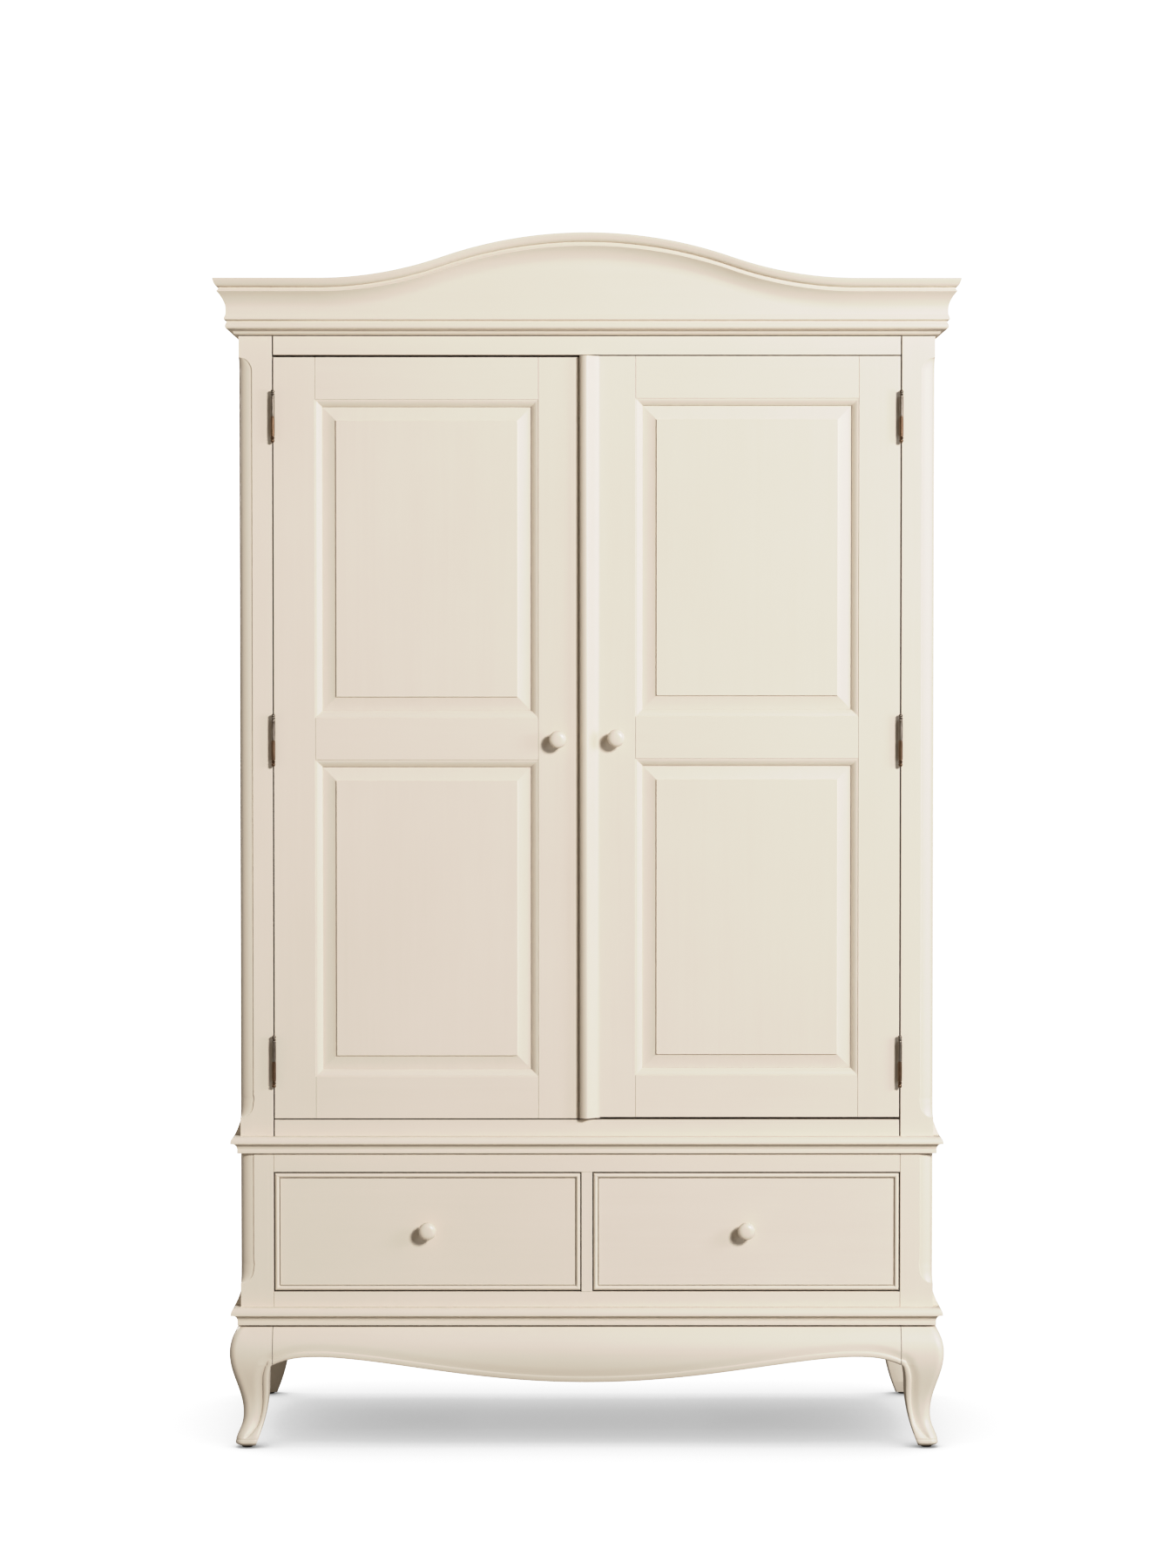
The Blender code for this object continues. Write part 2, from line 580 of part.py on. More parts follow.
def hinge_half(side, fixed):
    """Half of a lift-off hinge, about its centre: the fixed half holds the pin and the other sits on it."""
    up = -1 if fixed else 1
    turning = [(BARREL_R, 0.0), (0.0025, 0.0008), (0.0040, 0.0028), (0.0026, 0.0048)]
    turning += [(0.0036, 0.0072), (0.0030, 0.0100), (0.0010, 0.0115)]
    finial = [(radius, BARREL_HALF + along) for radius, along in turning]
    if fixed:
        start = [(0.0021, -0.0220), (0.0021, CLEAR), (BARREL_R, CLEAR)]
    else:
        start = [(0.0025, 0.0226), (0.0025, CLEAR), (BARREL_R, CLEAR)]
    barrel = turned([(r, up * along) for r, along in start + finial], (0, 0, 0), (0, 0, 1), 12)
    plane = HINGE_X - (OPENING_HALF - CLEAR) if fixed else HINGE_X - (OPENING_HALF - DOOR_GAP + CLEAR)
    x0, x1 = sorted((side * -plane, side * (-plane + (-LEAF_T if fixed else LEAF_T))))
    y0 = FRONT - HINGE_Y + CLEAR
    leaf = box((x0, y0, -BARREL_HALF), (x1, y0 + LEAF_DEEP, BARREL_HALF))
    z0, z1 = sorted((up * 0.0010, up * (BARREL_HALF - 0.0005)))
    tab = box((x0 + 0.00005, BARREL_R * 0.75, z0), (x1 - 0.00005, y0 + 0.002, z1))
    return barrel, leaf, tab


def build_hinges(brass):
    """Three hinges to a door. The halves of one kind share a mesh."""
    for word, side in (("left", -1), ("right", 1)):
        for fixed, kind in ((True, "frame"), (False, "door")):
            shapes = hinge_half(side, fixed)
            pieces = [add(f"{word}_{kind}_{k}", *shape, brass) for k, shape in enumerate(shapes)]
            whole = united(*pieces)
            bpy.context.view_layer.update()
            graph = bpy.context.evaluated_depsgraph_get()
            mesh = bpy.data.meshes.new_from_object(whole.evaluated_get(graph))
            mesh.transform(whole.matrix_world)
            for piece in pieces:
                bpy.data.objects.remove(piece)
            for z, where in zip(HINGE_Z, ("bottom", "middle", "top")):
                place = Vector((side * HINGE_X, HINGE_Y, z))
                name = f"{word}_hinge_{where}_{kind}_half"
                if fixed:
                    link(name, mesh, place)
                else:
                    body = f"{word}_door_axis"
                    link(name, mesh, place, body).location = place - EMPTIES[body].location


# ---- Drawers ------------------------------------------------------------------------------------
def drawer(word, side, paint, bare):
    body = f"{word}_drawer_origin"
    x = sorted((side * DRAWER_X[0], side * DRAWER_X[1]))
    face = FRONT + 0.0005
    steps = [(0.0, face + RAIL_T - 0.002), (0.0, face + 0.0030), (0.0010, face + 0.0010), (0.0035, face)]
    steps += [(BEAD - 0.0042, face), (BEAD - 0.0018, face + 0.0012), (BEAD, face + DRAWER_FIELD)]
    add(f"{word}_drawer_front", *rectangles(x, DRAWER_Z, steps), paint, body)
    bx = sorted((side * BOX_X[0], side * BOX_X[1]))
    y = (face + RAIL_T - 0.002 + CLEAR, BOX_BACK)
    wall, floor = 0.012, 0.009
    outer = [(bx[0], y[0]), (bx[1], y[0]), (bx[1], y[1]), (bx[0], y[1])]
    inner = [(bx[0] + wall, y[0] + wall), (bx[1] - wall, y[0] + wall)]
    inner += [(bx[1] - wall, y[1] - wall), (bx[0] + wall, y[1] - wall)]
    loops = [[(a, b, BOX_Z[0]) for a, b in outer], [(a, b, BOX_Z[1]) for a, b in outer]]
    loops += [[(a, b, BOX_Z[1]) for a, b in inner], [(a, b, BOX_Z[0] + floor) for a, b in inner]]
    add(f"{word}_drawer_box", *lofted(loops), bare, body)
    knob(f"{word}_drawer_knob", (x[0] + x[1]) / 2, face + DRAWER_FIELD, DRAWER_KNOB_Z, paint, body)


def main():
    for obj in list(bpy.data.objects):
        bpy.data.objects.remove(obj)
    paint = material("ivory_paint", (0.80, 0.74, 0.64), 0.40)
    bare = material("pale_wood", (0.62, 0.47, 0.31), 0.55)
    dark = material("dark_glide", (0.03, 0.02, 0.018), 0.60)
    brass = material("aged_brass", (0.36, 0.22, 0.10), 0.35, 1.0)
    steel = material("polished_steel", (0.75, 0.75, 0.76), 0.22, 1.0)
    for word, side in (("left", -1), ("right", 1)):
        empty(f"{word}_door_axis", (side * HINGE_X, HINGE_Y, DOOR_SILL))
        middle = side * (DRAWER_X[0] + DRAWER_X[1]) / 2
        empty(f"{word}_drawer_origin", (middle, FRONT, DRAWER_Z[0]))
    build_base(paint, dark)
    build_boards(paint)
    build_cornice(paint)
    build_posts(paint)
    build_sides(paint, bare)
    build_rails(paint, bare)
    build_back_and_top(bare)
    build_hanging_rail(steel)
    build_hinges(brass)
    for word, side in (("left", -1), ("right", 1)):
        door(word, side, paint)
        drawer(word, side, paint, bare)


main()
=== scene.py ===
"""Looks of a painted armoire, two panelled doors over two drawers: surfaces, finishes, light and camera.

Metres, +Z up, front to -Y. Every piece is modelled in its place with its origin at the world's origin, so the
Object coordinates that its finish reads are places on the furniture, and they move with it.
"""
import math
import random

import bmesh
import bpy
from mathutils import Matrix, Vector


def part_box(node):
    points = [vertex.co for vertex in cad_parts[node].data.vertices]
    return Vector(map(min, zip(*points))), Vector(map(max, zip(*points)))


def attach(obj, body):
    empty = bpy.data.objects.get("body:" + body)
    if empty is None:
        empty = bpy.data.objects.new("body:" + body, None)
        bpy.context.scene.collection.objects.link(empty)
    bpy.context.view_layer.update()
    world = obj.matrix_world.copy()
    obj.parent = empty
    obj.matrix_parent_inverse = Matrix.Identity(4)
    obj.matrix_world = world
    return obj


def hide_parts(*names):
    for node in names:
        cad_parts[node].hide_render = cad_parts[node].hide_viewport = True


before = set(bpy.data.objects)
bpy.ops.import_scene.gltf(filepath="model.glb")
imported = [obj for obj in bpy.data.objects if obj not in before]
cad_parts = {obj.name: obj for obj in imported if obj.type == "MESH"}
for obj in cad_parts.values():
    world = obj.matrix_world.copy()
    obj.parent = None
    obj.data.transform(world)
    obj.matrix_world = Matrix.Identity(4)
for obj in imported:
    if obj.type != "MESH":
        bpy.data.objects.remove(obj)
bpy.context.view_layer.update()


def low(node):
    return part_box(node)[0]


def high(node):
    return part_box(node)[1]


# ---- Sizes, from the frame ---------------------------
CLEAR = 0.0003  # gap between two pieces that touch
HAIR = 0.0001  # half of the joint that shows between two glued boards
EASED = 0.0007  # radius of a board's eased edges

CASE_HALF = high("upper_post_right").x
OPENING_HALF = low("upper_post_right").x
POST = CASE_HALF - OPENING_HALF
FRONT = low("upper_post_right").y
BACK = high("upper_back").y
INSIDE_X = high("upper_back").x + CLEAR
SIDE_T = CASE_HALF - INSIDE_X
LEG_TOP, LEG_FOOT = high("leg_front_left").z, low("leg_front_left").z
BASE_LOW, BASE_TOP = low("base_board").z, low("drawer_rail_bottom").z - CLEAR
WAIST_LOW, WAIST_TOP = low("waist_board").z, low("door_rail_bottom").z - CLEAR
LOWER = (low("lower_post_left").z, high("lower_post_left").z)
CORNICE_LOW, CORNICE_TOP = low("cornice").z, high("cornice").z
ARCH_RISE = 0.0772
ARCH_HALF = 0.4600  # the arch starts this far from the middle
ARCH_SHARE = 0.54  # share of that taken by the crown of the arch
CORNICE_END = CORNICE_TOP - ARCH_RISE

DOOR_FACE = low("left_door_frame").y
DOOR_T = high("left_door_frame").y - DOOR_FACE
PANEL_TUCK = 0.0045  # how far a panel's edge stands inside its opening
STICKING = 0.012
FIELD_BEVEL = 0.0238
DOOR_H = 1.3085
STRIP_LAP = 0.0010  # how far the meeting strip stands out past the right door's edge
STILE_REACH = 0.0009  # how far a door's stile comes over the edge of its own hinge leaves

BARREL_R, BARREL_HALF = 0.0036, 0.0340
HINGE_OUT = 0.0075  # the hinges' axes stand this far out of the posts' faces

# Legs: how far the outer face stands out, and how far the inner edge lies in, at their named heights
KNEE_Z, KNEE_OUT = 0.166, 0.0190
ANKLE_Z, ANKLE_OUT = 0.060, -0.0032
TOE_Z, TOE_OUT = 0.010, 0.0095
LEG_TOP_OUT = 0.0040
LEG_STRAIGHT = 0.145
LEG_SHIN = 0.105
LEG_WIDE = 0.055
APRON_END = 0.1453  # height of the aprons' lower edges where they meet the legs
BEAD_DEPTH = 0.0028
DISH_DEPTH, DISH_RUN = 0.0024, 0.0160  # the face beside the carved bead is dished
TOE_BAND = 0.0150
ROUND_SHARE = 0.62  # depth of a post's rounded corner, as a share of its width
ROUND_WIDE = 0.0225
ROUND_RUN = 0.024  # the rounding dies away over this height
LOWER_ROUNDED = (0.3090, LOWER[1] + 0.05)  # between these heights; this one runs off the post's top
UPPER_ROUNDED = (0.5950, 1.8540)
GUIDE_TOP = 0.300  # top of the drawers' guides
COVE_START = 0.0190  # the coves up the sides start this far behind the posts' faces

# How light is shown: (light, shown as). The background and the far floor are brighter than its end.
SHOULDER = ((0.30, 0.30), (0.60, 0.60), (0.70, 0.67), (0.80, 0.753), (1.00, 0.826), (1.14, 0.871),
            (1.40, 0.913), (2.20, 1.0))
SEEN_WHITE = 3.0
OPEN_FLOOR = 1.06
WORLD_CAST = 0.06
CAST_TINT = (1.0, 0.88, 0.72)  # light that has come off the floor and the room is a little warm

SIDES = (("left", -1), ("right", 1))
FINISHES = {}
tones = random.Random(21)


# ---- Finishes ----------------------------------------
class Nodes:
    """Makes nodes in a tree, and links whatever is given as an input."""

    def __init__(self, tree):
        self.tree = tree

    def add(self, kind, settings=None, **inputs):
        made = self.tree.nodes.new("ShaderNode" + kind)
        for key, value in (settings or {}).items():
            setattr(made, key, value)
        for key, value in inputs.items():
            self.put(made.inputs[key.replace("_", " ")], value)
        return made

    def put(self, socket, value):
        if isinstance(value, bpy.types.NodeSocket):
            self.tree.links.new(value, socket)
        else:
            socket.default_value = value

    def maths(self, operation, *values):
        made = self.add("Math", {"operation": operation})
        for socket, value in zip(made.inputs, values):
            self.put(socket, value)
        return made.outputs[0]

    def times(self, first, second):
        return self.maths("MULTIPLY", first, second)

    def plus(self, first, second):
        return self.maths("ADD", first, second)

    def mix(self, share, first, second):
        made = self.add("Mix", {"data_type": "RGBA"})
        for socket, value in ((0, share), (6, first), (7, second)):
            self.put(made.inputs[socket], (*value, 1) if isinstance(value, tuple) else value)
        return made.outputs[2]


class Graph(Nodes):
    """A finish under construction."""

    def __init__(self, name):
        self.material = bpy.data.materials.new(name)
        self.material.use_nodes = True
        super().__init__(self.material.node_tree)
        self.shader = self.tree.nodes["Principled BSDF"]
        self.place = self.add("TexCoord").outputs["Object"]
        self.tone = self.add("Attribute", {"attribute_name": "tone"}).outputs["Fac"]
        shift = self.add("VectorMath", {"operation": "SCALE"}, Vector=(3.7, 5.3, 1.9), Scale=self.tone)
        moved = self.add("VectorMath", {"operation": "ADD"}, Vector=self.place)
        self.put(moved.inputs[1], shift.outputs[0])
        self.own_place = moved.outputs[0]

    def noise(self, scale, detail=3.0, roughness=0.5, distortion=0.0, own=True):
        """Noise that is finer or coarser along each axis. scale is in waves to the metre."""
        stretched = self.add("Mapping", Vector=self.own_place if own else self.place, Scale=scale)
        made = self.add("TexNoise", Vector=stretched.outputs[0], Scale=1.0, Detail=detail,
                        Roughness=roughness, Distortion=distortion)
        return made.outputs["Fac"]

    def ramp(self, value, start, end):
        """value as a share from 0 at start to 1 at end."""
        return self.add("MapRange", Value=value, From_Min=start, From_Max=end).outputs[0]

    def edges(self, radius):
        """1 on an edge and 0 away from it."""
        rounded = self.add("Bevel", {"samples": 4}, Radius=radius).outputs[0]
        true = self.add("NewGeometry").outputs["Normal"]
        alike = self.add("VectorMath", {"operation": "DOT_PRODUCT"}, Vector=rounded)
        self.put(alike.inputs[1], true)
        return self.ramp(alike.outputs["Value"], 0.99, 0.80)

    def recess(self, distance, start=0.80, end=0.15):
        """1 deep in a corner and 0 on an open face. start and end are shares of open sky."""
        open_share = self.add("AmbientOcclusion", {"samples": 4}, Distance=distance).outputs["AO"]
        return self.ramp(open_share, start, end)

    def bump(self, *layers):
        """Each layer is (value, height in metres)."""
        normal = None
        for value, height in layers:
            made = self.add("Bump", Height=value, Distance=height, Strength=1.0)
            if normal:
                self.put(made.inputs["Normal"], normal)
            normal = made.outputs[0]
        self.put(self.shader.inputs["Normal"], normal)

    def set(self, **inputs):
        for key, value in inputs.items():
            value = (*value, 1) if isinstance(value, tuple) else value
            self.put(self.shader.inputs[key.replace("_", " ")], value)
        return self.material


def stretch(along, run, cross):
    """Noise scales that run long in one direction, 0 to 2 for X, Y or Z."""
    return tuple(run if k == along else cross for k in range(3))


def paint(name, along, gloss):
    """Satin ivory paint, sprayed and then brushed out along the board, rubbed a little thin on its edges, and
    darkened by painted shade in its recesses and gaps.
    """
    g = Graph(name)
    cloud = g.noise((2.6, 2.6, 2.6), 4.0, 0.55, own=False)
    brush = g.noise(stretch(along, 5.0, 210.0), 4.0, 0.6)
    grain = g.noise(stretch(along, 1.6, 46.0), 5.0, 0.62, 0.8)
    peel = g.noise((620.0, 620.0, 620.0), 2.0)
    mix = g.plus(g.times(cloud, 0.55), g.times(grain, 0.30))
    mix = g.plus(mix, g.times(brush, 0.15))
    base = g.mix(g.ramp(mix, 0.30, 0.72), (0.772, 0.684, 0.574), (0.822, 0.734, 0.622))
    warmer = g.mix(g.times(g.tone, 0.25), base, (0.800, 0.700, 0.578))
    # Painted shade: the paint is darkened towards brown in its recesses.
    recess_painted_shade = g.times(g.recess(0.010), g.ramp(cloud, 0.20, 0.60))
    paint_with_recess_painted_shade = g.mix(g.times(recess_painted_shade, 0.30), warmer, (0.560, 0.455, 0.335))
    scuffs = g.ramp(g.noise((38.0, 38.0, 38.0), 5.0, 0.7), 0.46, 0.66)
    rubbed = g.times(g.edges(0.0014), scuffs)
    rubbed_thin = g.mix(g.times(rubbed, 0.30), paint_with_recess_painted_shade, (0.890, 0.818, 0.715))
    # Painted shade: deep in gaps and crevices the paint turns almost black-brown.
    joint = g.recess(0.004, 0.28, 0.08)
    colour = g.mix(g.times(joint, 0.90), rubbed_thin, (0.085, 0.048, 0.026))
    sheen = g.plus(g.times(cloud, 0.10), g.times(brush, 0.06))
    sheen = g.plus(sheen, g.times(recess_painted_shade, 0.12))
    g.bump((peel, 0.000012), (brush, 0.000035), (grain, 0.00003))
    return g.set(Base_Color=colour, Roughness=g.plus(sheen, gloss), IOR=1.47)


def bare_wood(name, along):
    """Pale planed wood under a thin sealer, with darker latewood, pores and handling marks, and painted shade
    in its recesses.
    """
    g = Graph(name)
    figure = g.noise(stretch(along, 0.8, 15.0), 5.0, 0.6, 1.6)
    rings = g.maths("FRACT", g.times(figure, 7.0))
    rings = g.maths("POWER", rings, 1.8)
    pores = g.noise(stretch(along, 26.0, 900.0), 3.0, 0.7)
    cloud = g.noise((3.0, 3.0, 3.0), 3.0)
    pale = g.mix(cloud, (0.640, 0.490, 0.325), (0.575, 0.425, 0.265))
    ringed = g.mix(g.times(rings, 0.42), pale, (0.400, 0.262, 0.142))
    toned = g.mix(g.times(g.tone, 0.30), ringed, (0.520, 0.372, 0.225))
    pored = g.mix(g.times(g.ramp(pores, 0.56, 0.72), 0.35), toned, (0.300, 0.190, 0.105))
    # Painted shade: the wood is darkened in its recesses.
    wood_with_recess_painted_shade = g.mix(g.times(g.recess(0.015), 0.45), pored, (0.240, 0.165, 0.105))
    colour = g.mix(g.times(g.edges(0.0012), 0.30), wood_with_recess_painted_shade, (0.700, 0.560, 0.400))
    g.bump((pores, 0.00006), (rings, 0.00003))
    return g.set(Base_Color=colour, Roughness=g.ramp(g.plus(pores, rings), -2.2, 3.2), IOR=1.45)


def aged_brass(name, dark, light, rub):
    """Brass gone brown, in patches from dark to light, and rubbed to a third colour on its edges."""
    g = Graph(name)
    patches = g.noise((90.0, 90.0, 60.0), 5.0, 0.65, 0.6)
    turning = g.noise((60.0, 60.0, 2400.0), 2.0)
    brown = g.mix(patches, dark, light)
    worn = g.times(g.edges(0.0007), g.ramp(patches, 0.35, 0.60))
    bright = g.mix(worn, brown, rub)
    grimy = g.mix(g.times(g.recess(0.003), 0.75), bright, (0.055, 0.034, 0.022))
    g.bump((turning, 0.00004), (patches, 0.00005))
    roughness = g.plus(g.times(patches, 0.22), 0.22)
    return g.set(Base_Color=grimy, Metallic=1.0, Roughness=roughness)


def steel(name):
    g = Graph(name)
    lines = g.noise((3.0, 1500.0, 1500.0), 3.0, 0.6)
    smears = g.noise((9.0, 22.0, 22.0), 4.0, 0.6)
    colour = g.mix(smears, (0.780, 0.785, 0.790), (0.650, 0.655, 0.665))
    # Painted shade: the steel is darkened in its recesses.
    steel_with_recess_painted_shade = g.mix(g.times(g.recess(0.004), 0.6), colour, (0.200, 0.195, 0.190))
    # Painted highlight: the steel's edges are lightened towards white.
    bright = g.mix(g.times(g.edges(0.0008), 0.5), steel_with_recess_painted_shade, (0.90, 0.90, 0.90))
    g.bump((lines, 0.000015),)
    return g.set(Base_Color=bright, Metallic=1.0,
                 Roughness=g.plus(g.times(smears, 0.16), 0.14))


def dark_glide(name):
    g = Graph(name)
    speckle = g.noise((900.0, 900.0, 900.0), 3.0)
    scuffs = g.ramp(g.noise((120.0, 120.0, 400.0), 5.0, 0.7), 0.50, 0.70)
    colour = g.mix(speckle, (0.020, 0.014, 0.012), (0.045, 0.032, 0.026))
    rubbed = g.mix(g.times(g.times(g.edges(0.0006), scuffs), 0.8), colour,
                   (0.210, 0.190, 0.170))
    g.bump((speckle, 0.00003), (scuffs, 0.00003))
    return g.set(Base_Color=rubbed, Roughness=g.plus(g.times(scuffs, 0.2), 0.5))


def build_finishes():
    for along, word in enumerate("xyz"):
        FINISHES[f"paint_{word}"] = paint(f"ivory_paint_{word}", along, 0.36)
        FINISHES[f"wood_{word}"] = bare_wood(f"bare_wood_{word}", along)
    FINISHES["knob"] = paint("knob_paint", 1, 0.24)
    # Painted highlight, in part: the door halves' greyer patches and silvery rubbed edges stand in for the
    # sheen on the upper knuckles; the frame halves stay brown.
    FINISHES["brass_door"] = aged_brass("aged_brass_worn", (0.120, 0.085, 0.060), (0.330, 0.285, 0.240),
                                        (0.560, 0.520, 0.460))
    FINISHES["brass_frame"] = aged_brass("aged_brass_brown", (0.110, 0.064, 0.038), (0.240, 0.145, 0.086),
                                         (0.420, 0.300, 0.190))
    FINISHES["steel"] = steel("polished_steel")
    FINISHES["glide"] = dark_glide("dark_glide")


# ---- Pieces ------------------------------------------
def mesh_of(name, points, faces):
    """A mesh with its faces pointing out."""
    mesh = bpy.data.meshes.new(name)
    mesh.from_pydata([tuple(p) for p in points], [], faces)
    shape = bmesh.new()
    shape.from_mesh(mesh)
    bmesh.ops.recalc_face_normals(shape, faces=shape.faces)
    shape.to_mesh(mesh)
    shape.free()
    return mesh


def placed(name, data):
    """A new object in the scene."""
    obj = bpy.data.objects.new(name, data)
    bpy.context.scene.collection.objects.link(obj)
    return obj


def shown(name, mesh, finish, body, replaces=()):
    """An object of the finished furniture that moves with a body and stands for CAD nodes."""
    obj = placed(name, mesh)
    if not mesh.materials:
        mesh.materials.append(FINISHES[finish])
    tone = mesh.attributes.new("tone", "FLOAT", "POINT")
    tone.data.foreach_set("value", [tones.random()] * len(mesh.vertices))
    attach(obj, body)
    if replaces:
        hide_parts(*replaces)
    return obj


def piece(name, shape, finish, body="case", replaces=(), soft=32, mitred=False):
    """A piece from points and faces. mitred keeps the corners of rectangular loops crisp."""
    mesh = mesh_of(name, *shape)
    mesh.shade_smooth()
    mesh.set_sharp_from_angle(angle=math.radians(soft))
    if mitred:
        for edge in mesh.edges:
            if edge.vertices[0] % 4 == edge.vertices[1] % 4:
                edge.use_edge_sharp = True
    return shown(name, mesh, finish, body, replaces)


def as_is(a, depth, z):
    return a, depth, z


def board(name, low, high, finish, body="case", replaces=(), radius=EASED, place=as_is):
    """A sawn board with eased edges. place turns (across, depth, z) into a point."""
    points, faces = box(low, high)
    obj = piece(name, ([place(*p) for p in points], faces), finish, body, replaces, soft=180)
    eased = obj.modifiers.new("eased_edges", "BEVEL")
    eased.width = radius
    eased.segments = 3
    eased.harden_normals = True
    return obj


# ---- Shapes ------------------------------------------
def lofted(loops, ring=False):
    """Points and faces through loops that all have the same number of points: a solid, or a closed ring."""
    count = len(loops[0])
    points = [p for loop in loops for p in loop]
    faces = [] if ring else [tuple(range(count)), tuple(range(len(points) - count, len(points)))]
    for k in range(len(loops) if ring else len(loops) - 1):
        start, end = k * count, (k + 1) % len(loops) * count
        for i in range(count):
            j = (i + 1) % count
            faces.append((start + i, start + j, end + j, end + i))
    return points, faces


def box(low, high):
    corners = [(low[0], low[1]), (high[0], low[1]), (high[0], high[1]), (low[0], high[1])]
    return lofted([[(x, y, z) for x, y in corners] for z in (low[2], high[2])])


def rectangles(across, z, steps, place, ring=False):
    """A solid, or a ring, of upright rectangles, each drawn in by an inset and lying at a depth."""
    loops = []
    for inset, depth in steps:
        a0, a1, z0, z1 = across[0] + inset, across[1] - inset, z[0] + inset, z[1] - inset
        loops.append([place(a0, depth, z0), place(a1, depth, z0), place(a1, depth, z1), place(a0, depth, z1)])
    return lofted(loops, ring)


def turned(profile, centre, axis, segments=48):
    """A turned solid. The profile is (radius, distance along axis) and neither end is on the axis."""
    axis = Vector(axis)
    side = axis.orthogonal().normalized()
    other = axis.cross(side)
    turns = [2 * math.pi * i / segments for i in range(segments)]
    loops = []
    for radius, along in profile:
        middle = Vector(centre) + axis * along
        loops.append([middle + (side * math.cos(a) + other * math.sin(a)) * radius for a in turns])
    return lofted(loops)


def arc(cx, cz, rx, rz, start, end, steps):
    """Points along part of an ellipse, from one angle to another, in degrees."""
    angles = [math.radians(start + (end - start) * k / steps) for k in range(steps + 1)]
    return [(cx + rx * math.cos(a), cz + rz * math.sin(a)) for a in angles]


def flowing(points, steps):
    """A smooth curve through points, with this many steps between two of them."""
    ends = [points[0], *points, points[-1]]
    curve = []
    for a, b, c, d in zip(ends, ends[1:], ends[2:], ends[3:]):
        for t in (k / steps for k in range(steps)):
            shares = (-t + 2 * t**2 - t**3, 2 - 5 * t**2 + 3 * t**3, t + 4 * t**2 - 3 * t**3, t**3 - t**2)
            curve.append(tuple(sum(w * v for w, v in zip(shares, values)) / 2 for values in zip(a, b, c, d)))
    return curve + [points[-1]]


def ease(t):
    return (1 - math.cos(math.pi * t)) / 2


def through(z, keys):
    """A value that passes smoothly through (height, value) keys, listed from the top down."""
    for (z1, above), (z0, below) in zip(keys, keys[1:]):
        if z >= z0:
            return above + (below - above) * ease(min(max((z1 - z) / (z1 - z0), 0.0), 1.0))
    return keys[-1][1]


def spaced(start, end, step):
    """Heights from start towards end at about this step, without end."""
    count = max(1, round(abs(end - start) / step))
    return [start + (end - start) * k / count for k in range(count)]


# ---- Legs, aprons and glides -------------------------
def leg_out(z):
    """How far the leg's outer face stands out of the case's face at height z."""
    if z >= KNEE_Z:
        t = (LEG_TOP - z) / (LEG_TOP - KNEE_Z)
        return LEG_TOP_OUT + (KNEE_OUT - LEG_TOP_OUT) * math.sin(math.pi / 2 * max(t, 0) ** 0.8)
    if z >= ANKLE_Z:
        return KNEE_OUT + (ANKLE_OUT - KNEE_OUT) * ease((KNEE_Z - z) / (KNEE_Z - ANKLE_Z))
    if z >= TOE_Z:
        t = (ANKLE_Z - z) / (ANKLE_Z - TOE_Z)
        return ANKLE_OUT + (TOE_OUT - ANKLE_OUT) * ease(t**1.3)
    return TOE_OUT - 0.0065 * ((TOE_Z - z) / (TOE_Z - LEG_FOOT)) ** 2


def leg_in(z):
    """How far the leg's inner side lies inside the case's face at height z."""
    if z >= LEG_STRAIGHT:
        return LEG_WIDE
    if z >= LEG_SHIN:
        t = (LEG_STRAIGHT - z) / (LEG_STRAIGHT - LEG_SHIN)
        return LEG_WIDE - 0.0075 * math.sqrt(1 - (1 - t) ** 2)
    t = (LEG_SHIN - z) / (LEG_SHIN - LEG_FOOT)
    return LEG_WIDE - 0.0075 - 0.0225 * t**1.9


# (height, distance of the groove from the leg's inner edge): it runs down the leg and out across the toe
GROOVE = ((APRON_END, 0.0102), (0.1383, 0.0099), (0.1250, 0.0105), (0.1100, 0.0101), (0.0960, 0.0099),
          (0.0780, 0.0087), (0.0590, 0.0081), (0.0400, 0.0090), (0.0285, 0.0134), (0.0195, 0.0193),
          (0.0165, 0.0250), (0.0150, 0.0330))
GROOVE_CURVE = flowing(GROOVE, 8)


def groove_at(z):
    if z >= APRON_END:
        return GROOVE[0][1]
    for (z1, above), (z0, below) in zip(GROOVE_CURVE, GROOVE_CURVE[1:]):
        if z >= z0:
            return above + (below - above) * (z1 - z) / max(z1 - z0, 0.00001)
    return GROOVE[-1][1]


def carved(distance, width, room):
    """Depth behind the face at a distance from the carved edge: a half-round bead, then a fading dish."""
    run = min(DISH_RUN, room)
    groove = DISH_DEPTH * min(1.0, max(run - 0.003, 0.0) / 0.006)
    if distance >= width:
        return groove * (1 - ease(min((distance - width) / run, 1.0)))
    share = distance / width
    round_off = 1 - math.sqrt(max(0.0, 1 - (2 * share - 1) ** 2))
    return round_off * (BEAD_DEPTH if share < 0.5 else groove)


def carved_face(z, reach):
    """(distance from the inner edge, depth behind the face) across a leg's face that ends at reach.

    The bead comes along the apron's lower edge and turns down the leg, always as far from the edge.
    """
    width = min(groove_at(z), reach - 0.0030)
    rise = max(z - APRON_END, 0.0)
    wide = math.sqrt(max(width**2 - rise**2, 0.0003**2))
    places = [wide * k / 12 for k in range(13)]
    places += [wide + (reach - wide) * (k / 14) ** 1.3 for k in range(1, 15)]
    return [(u, carved(math.hypot(u, rise), width, reach - wide)) for u in places]


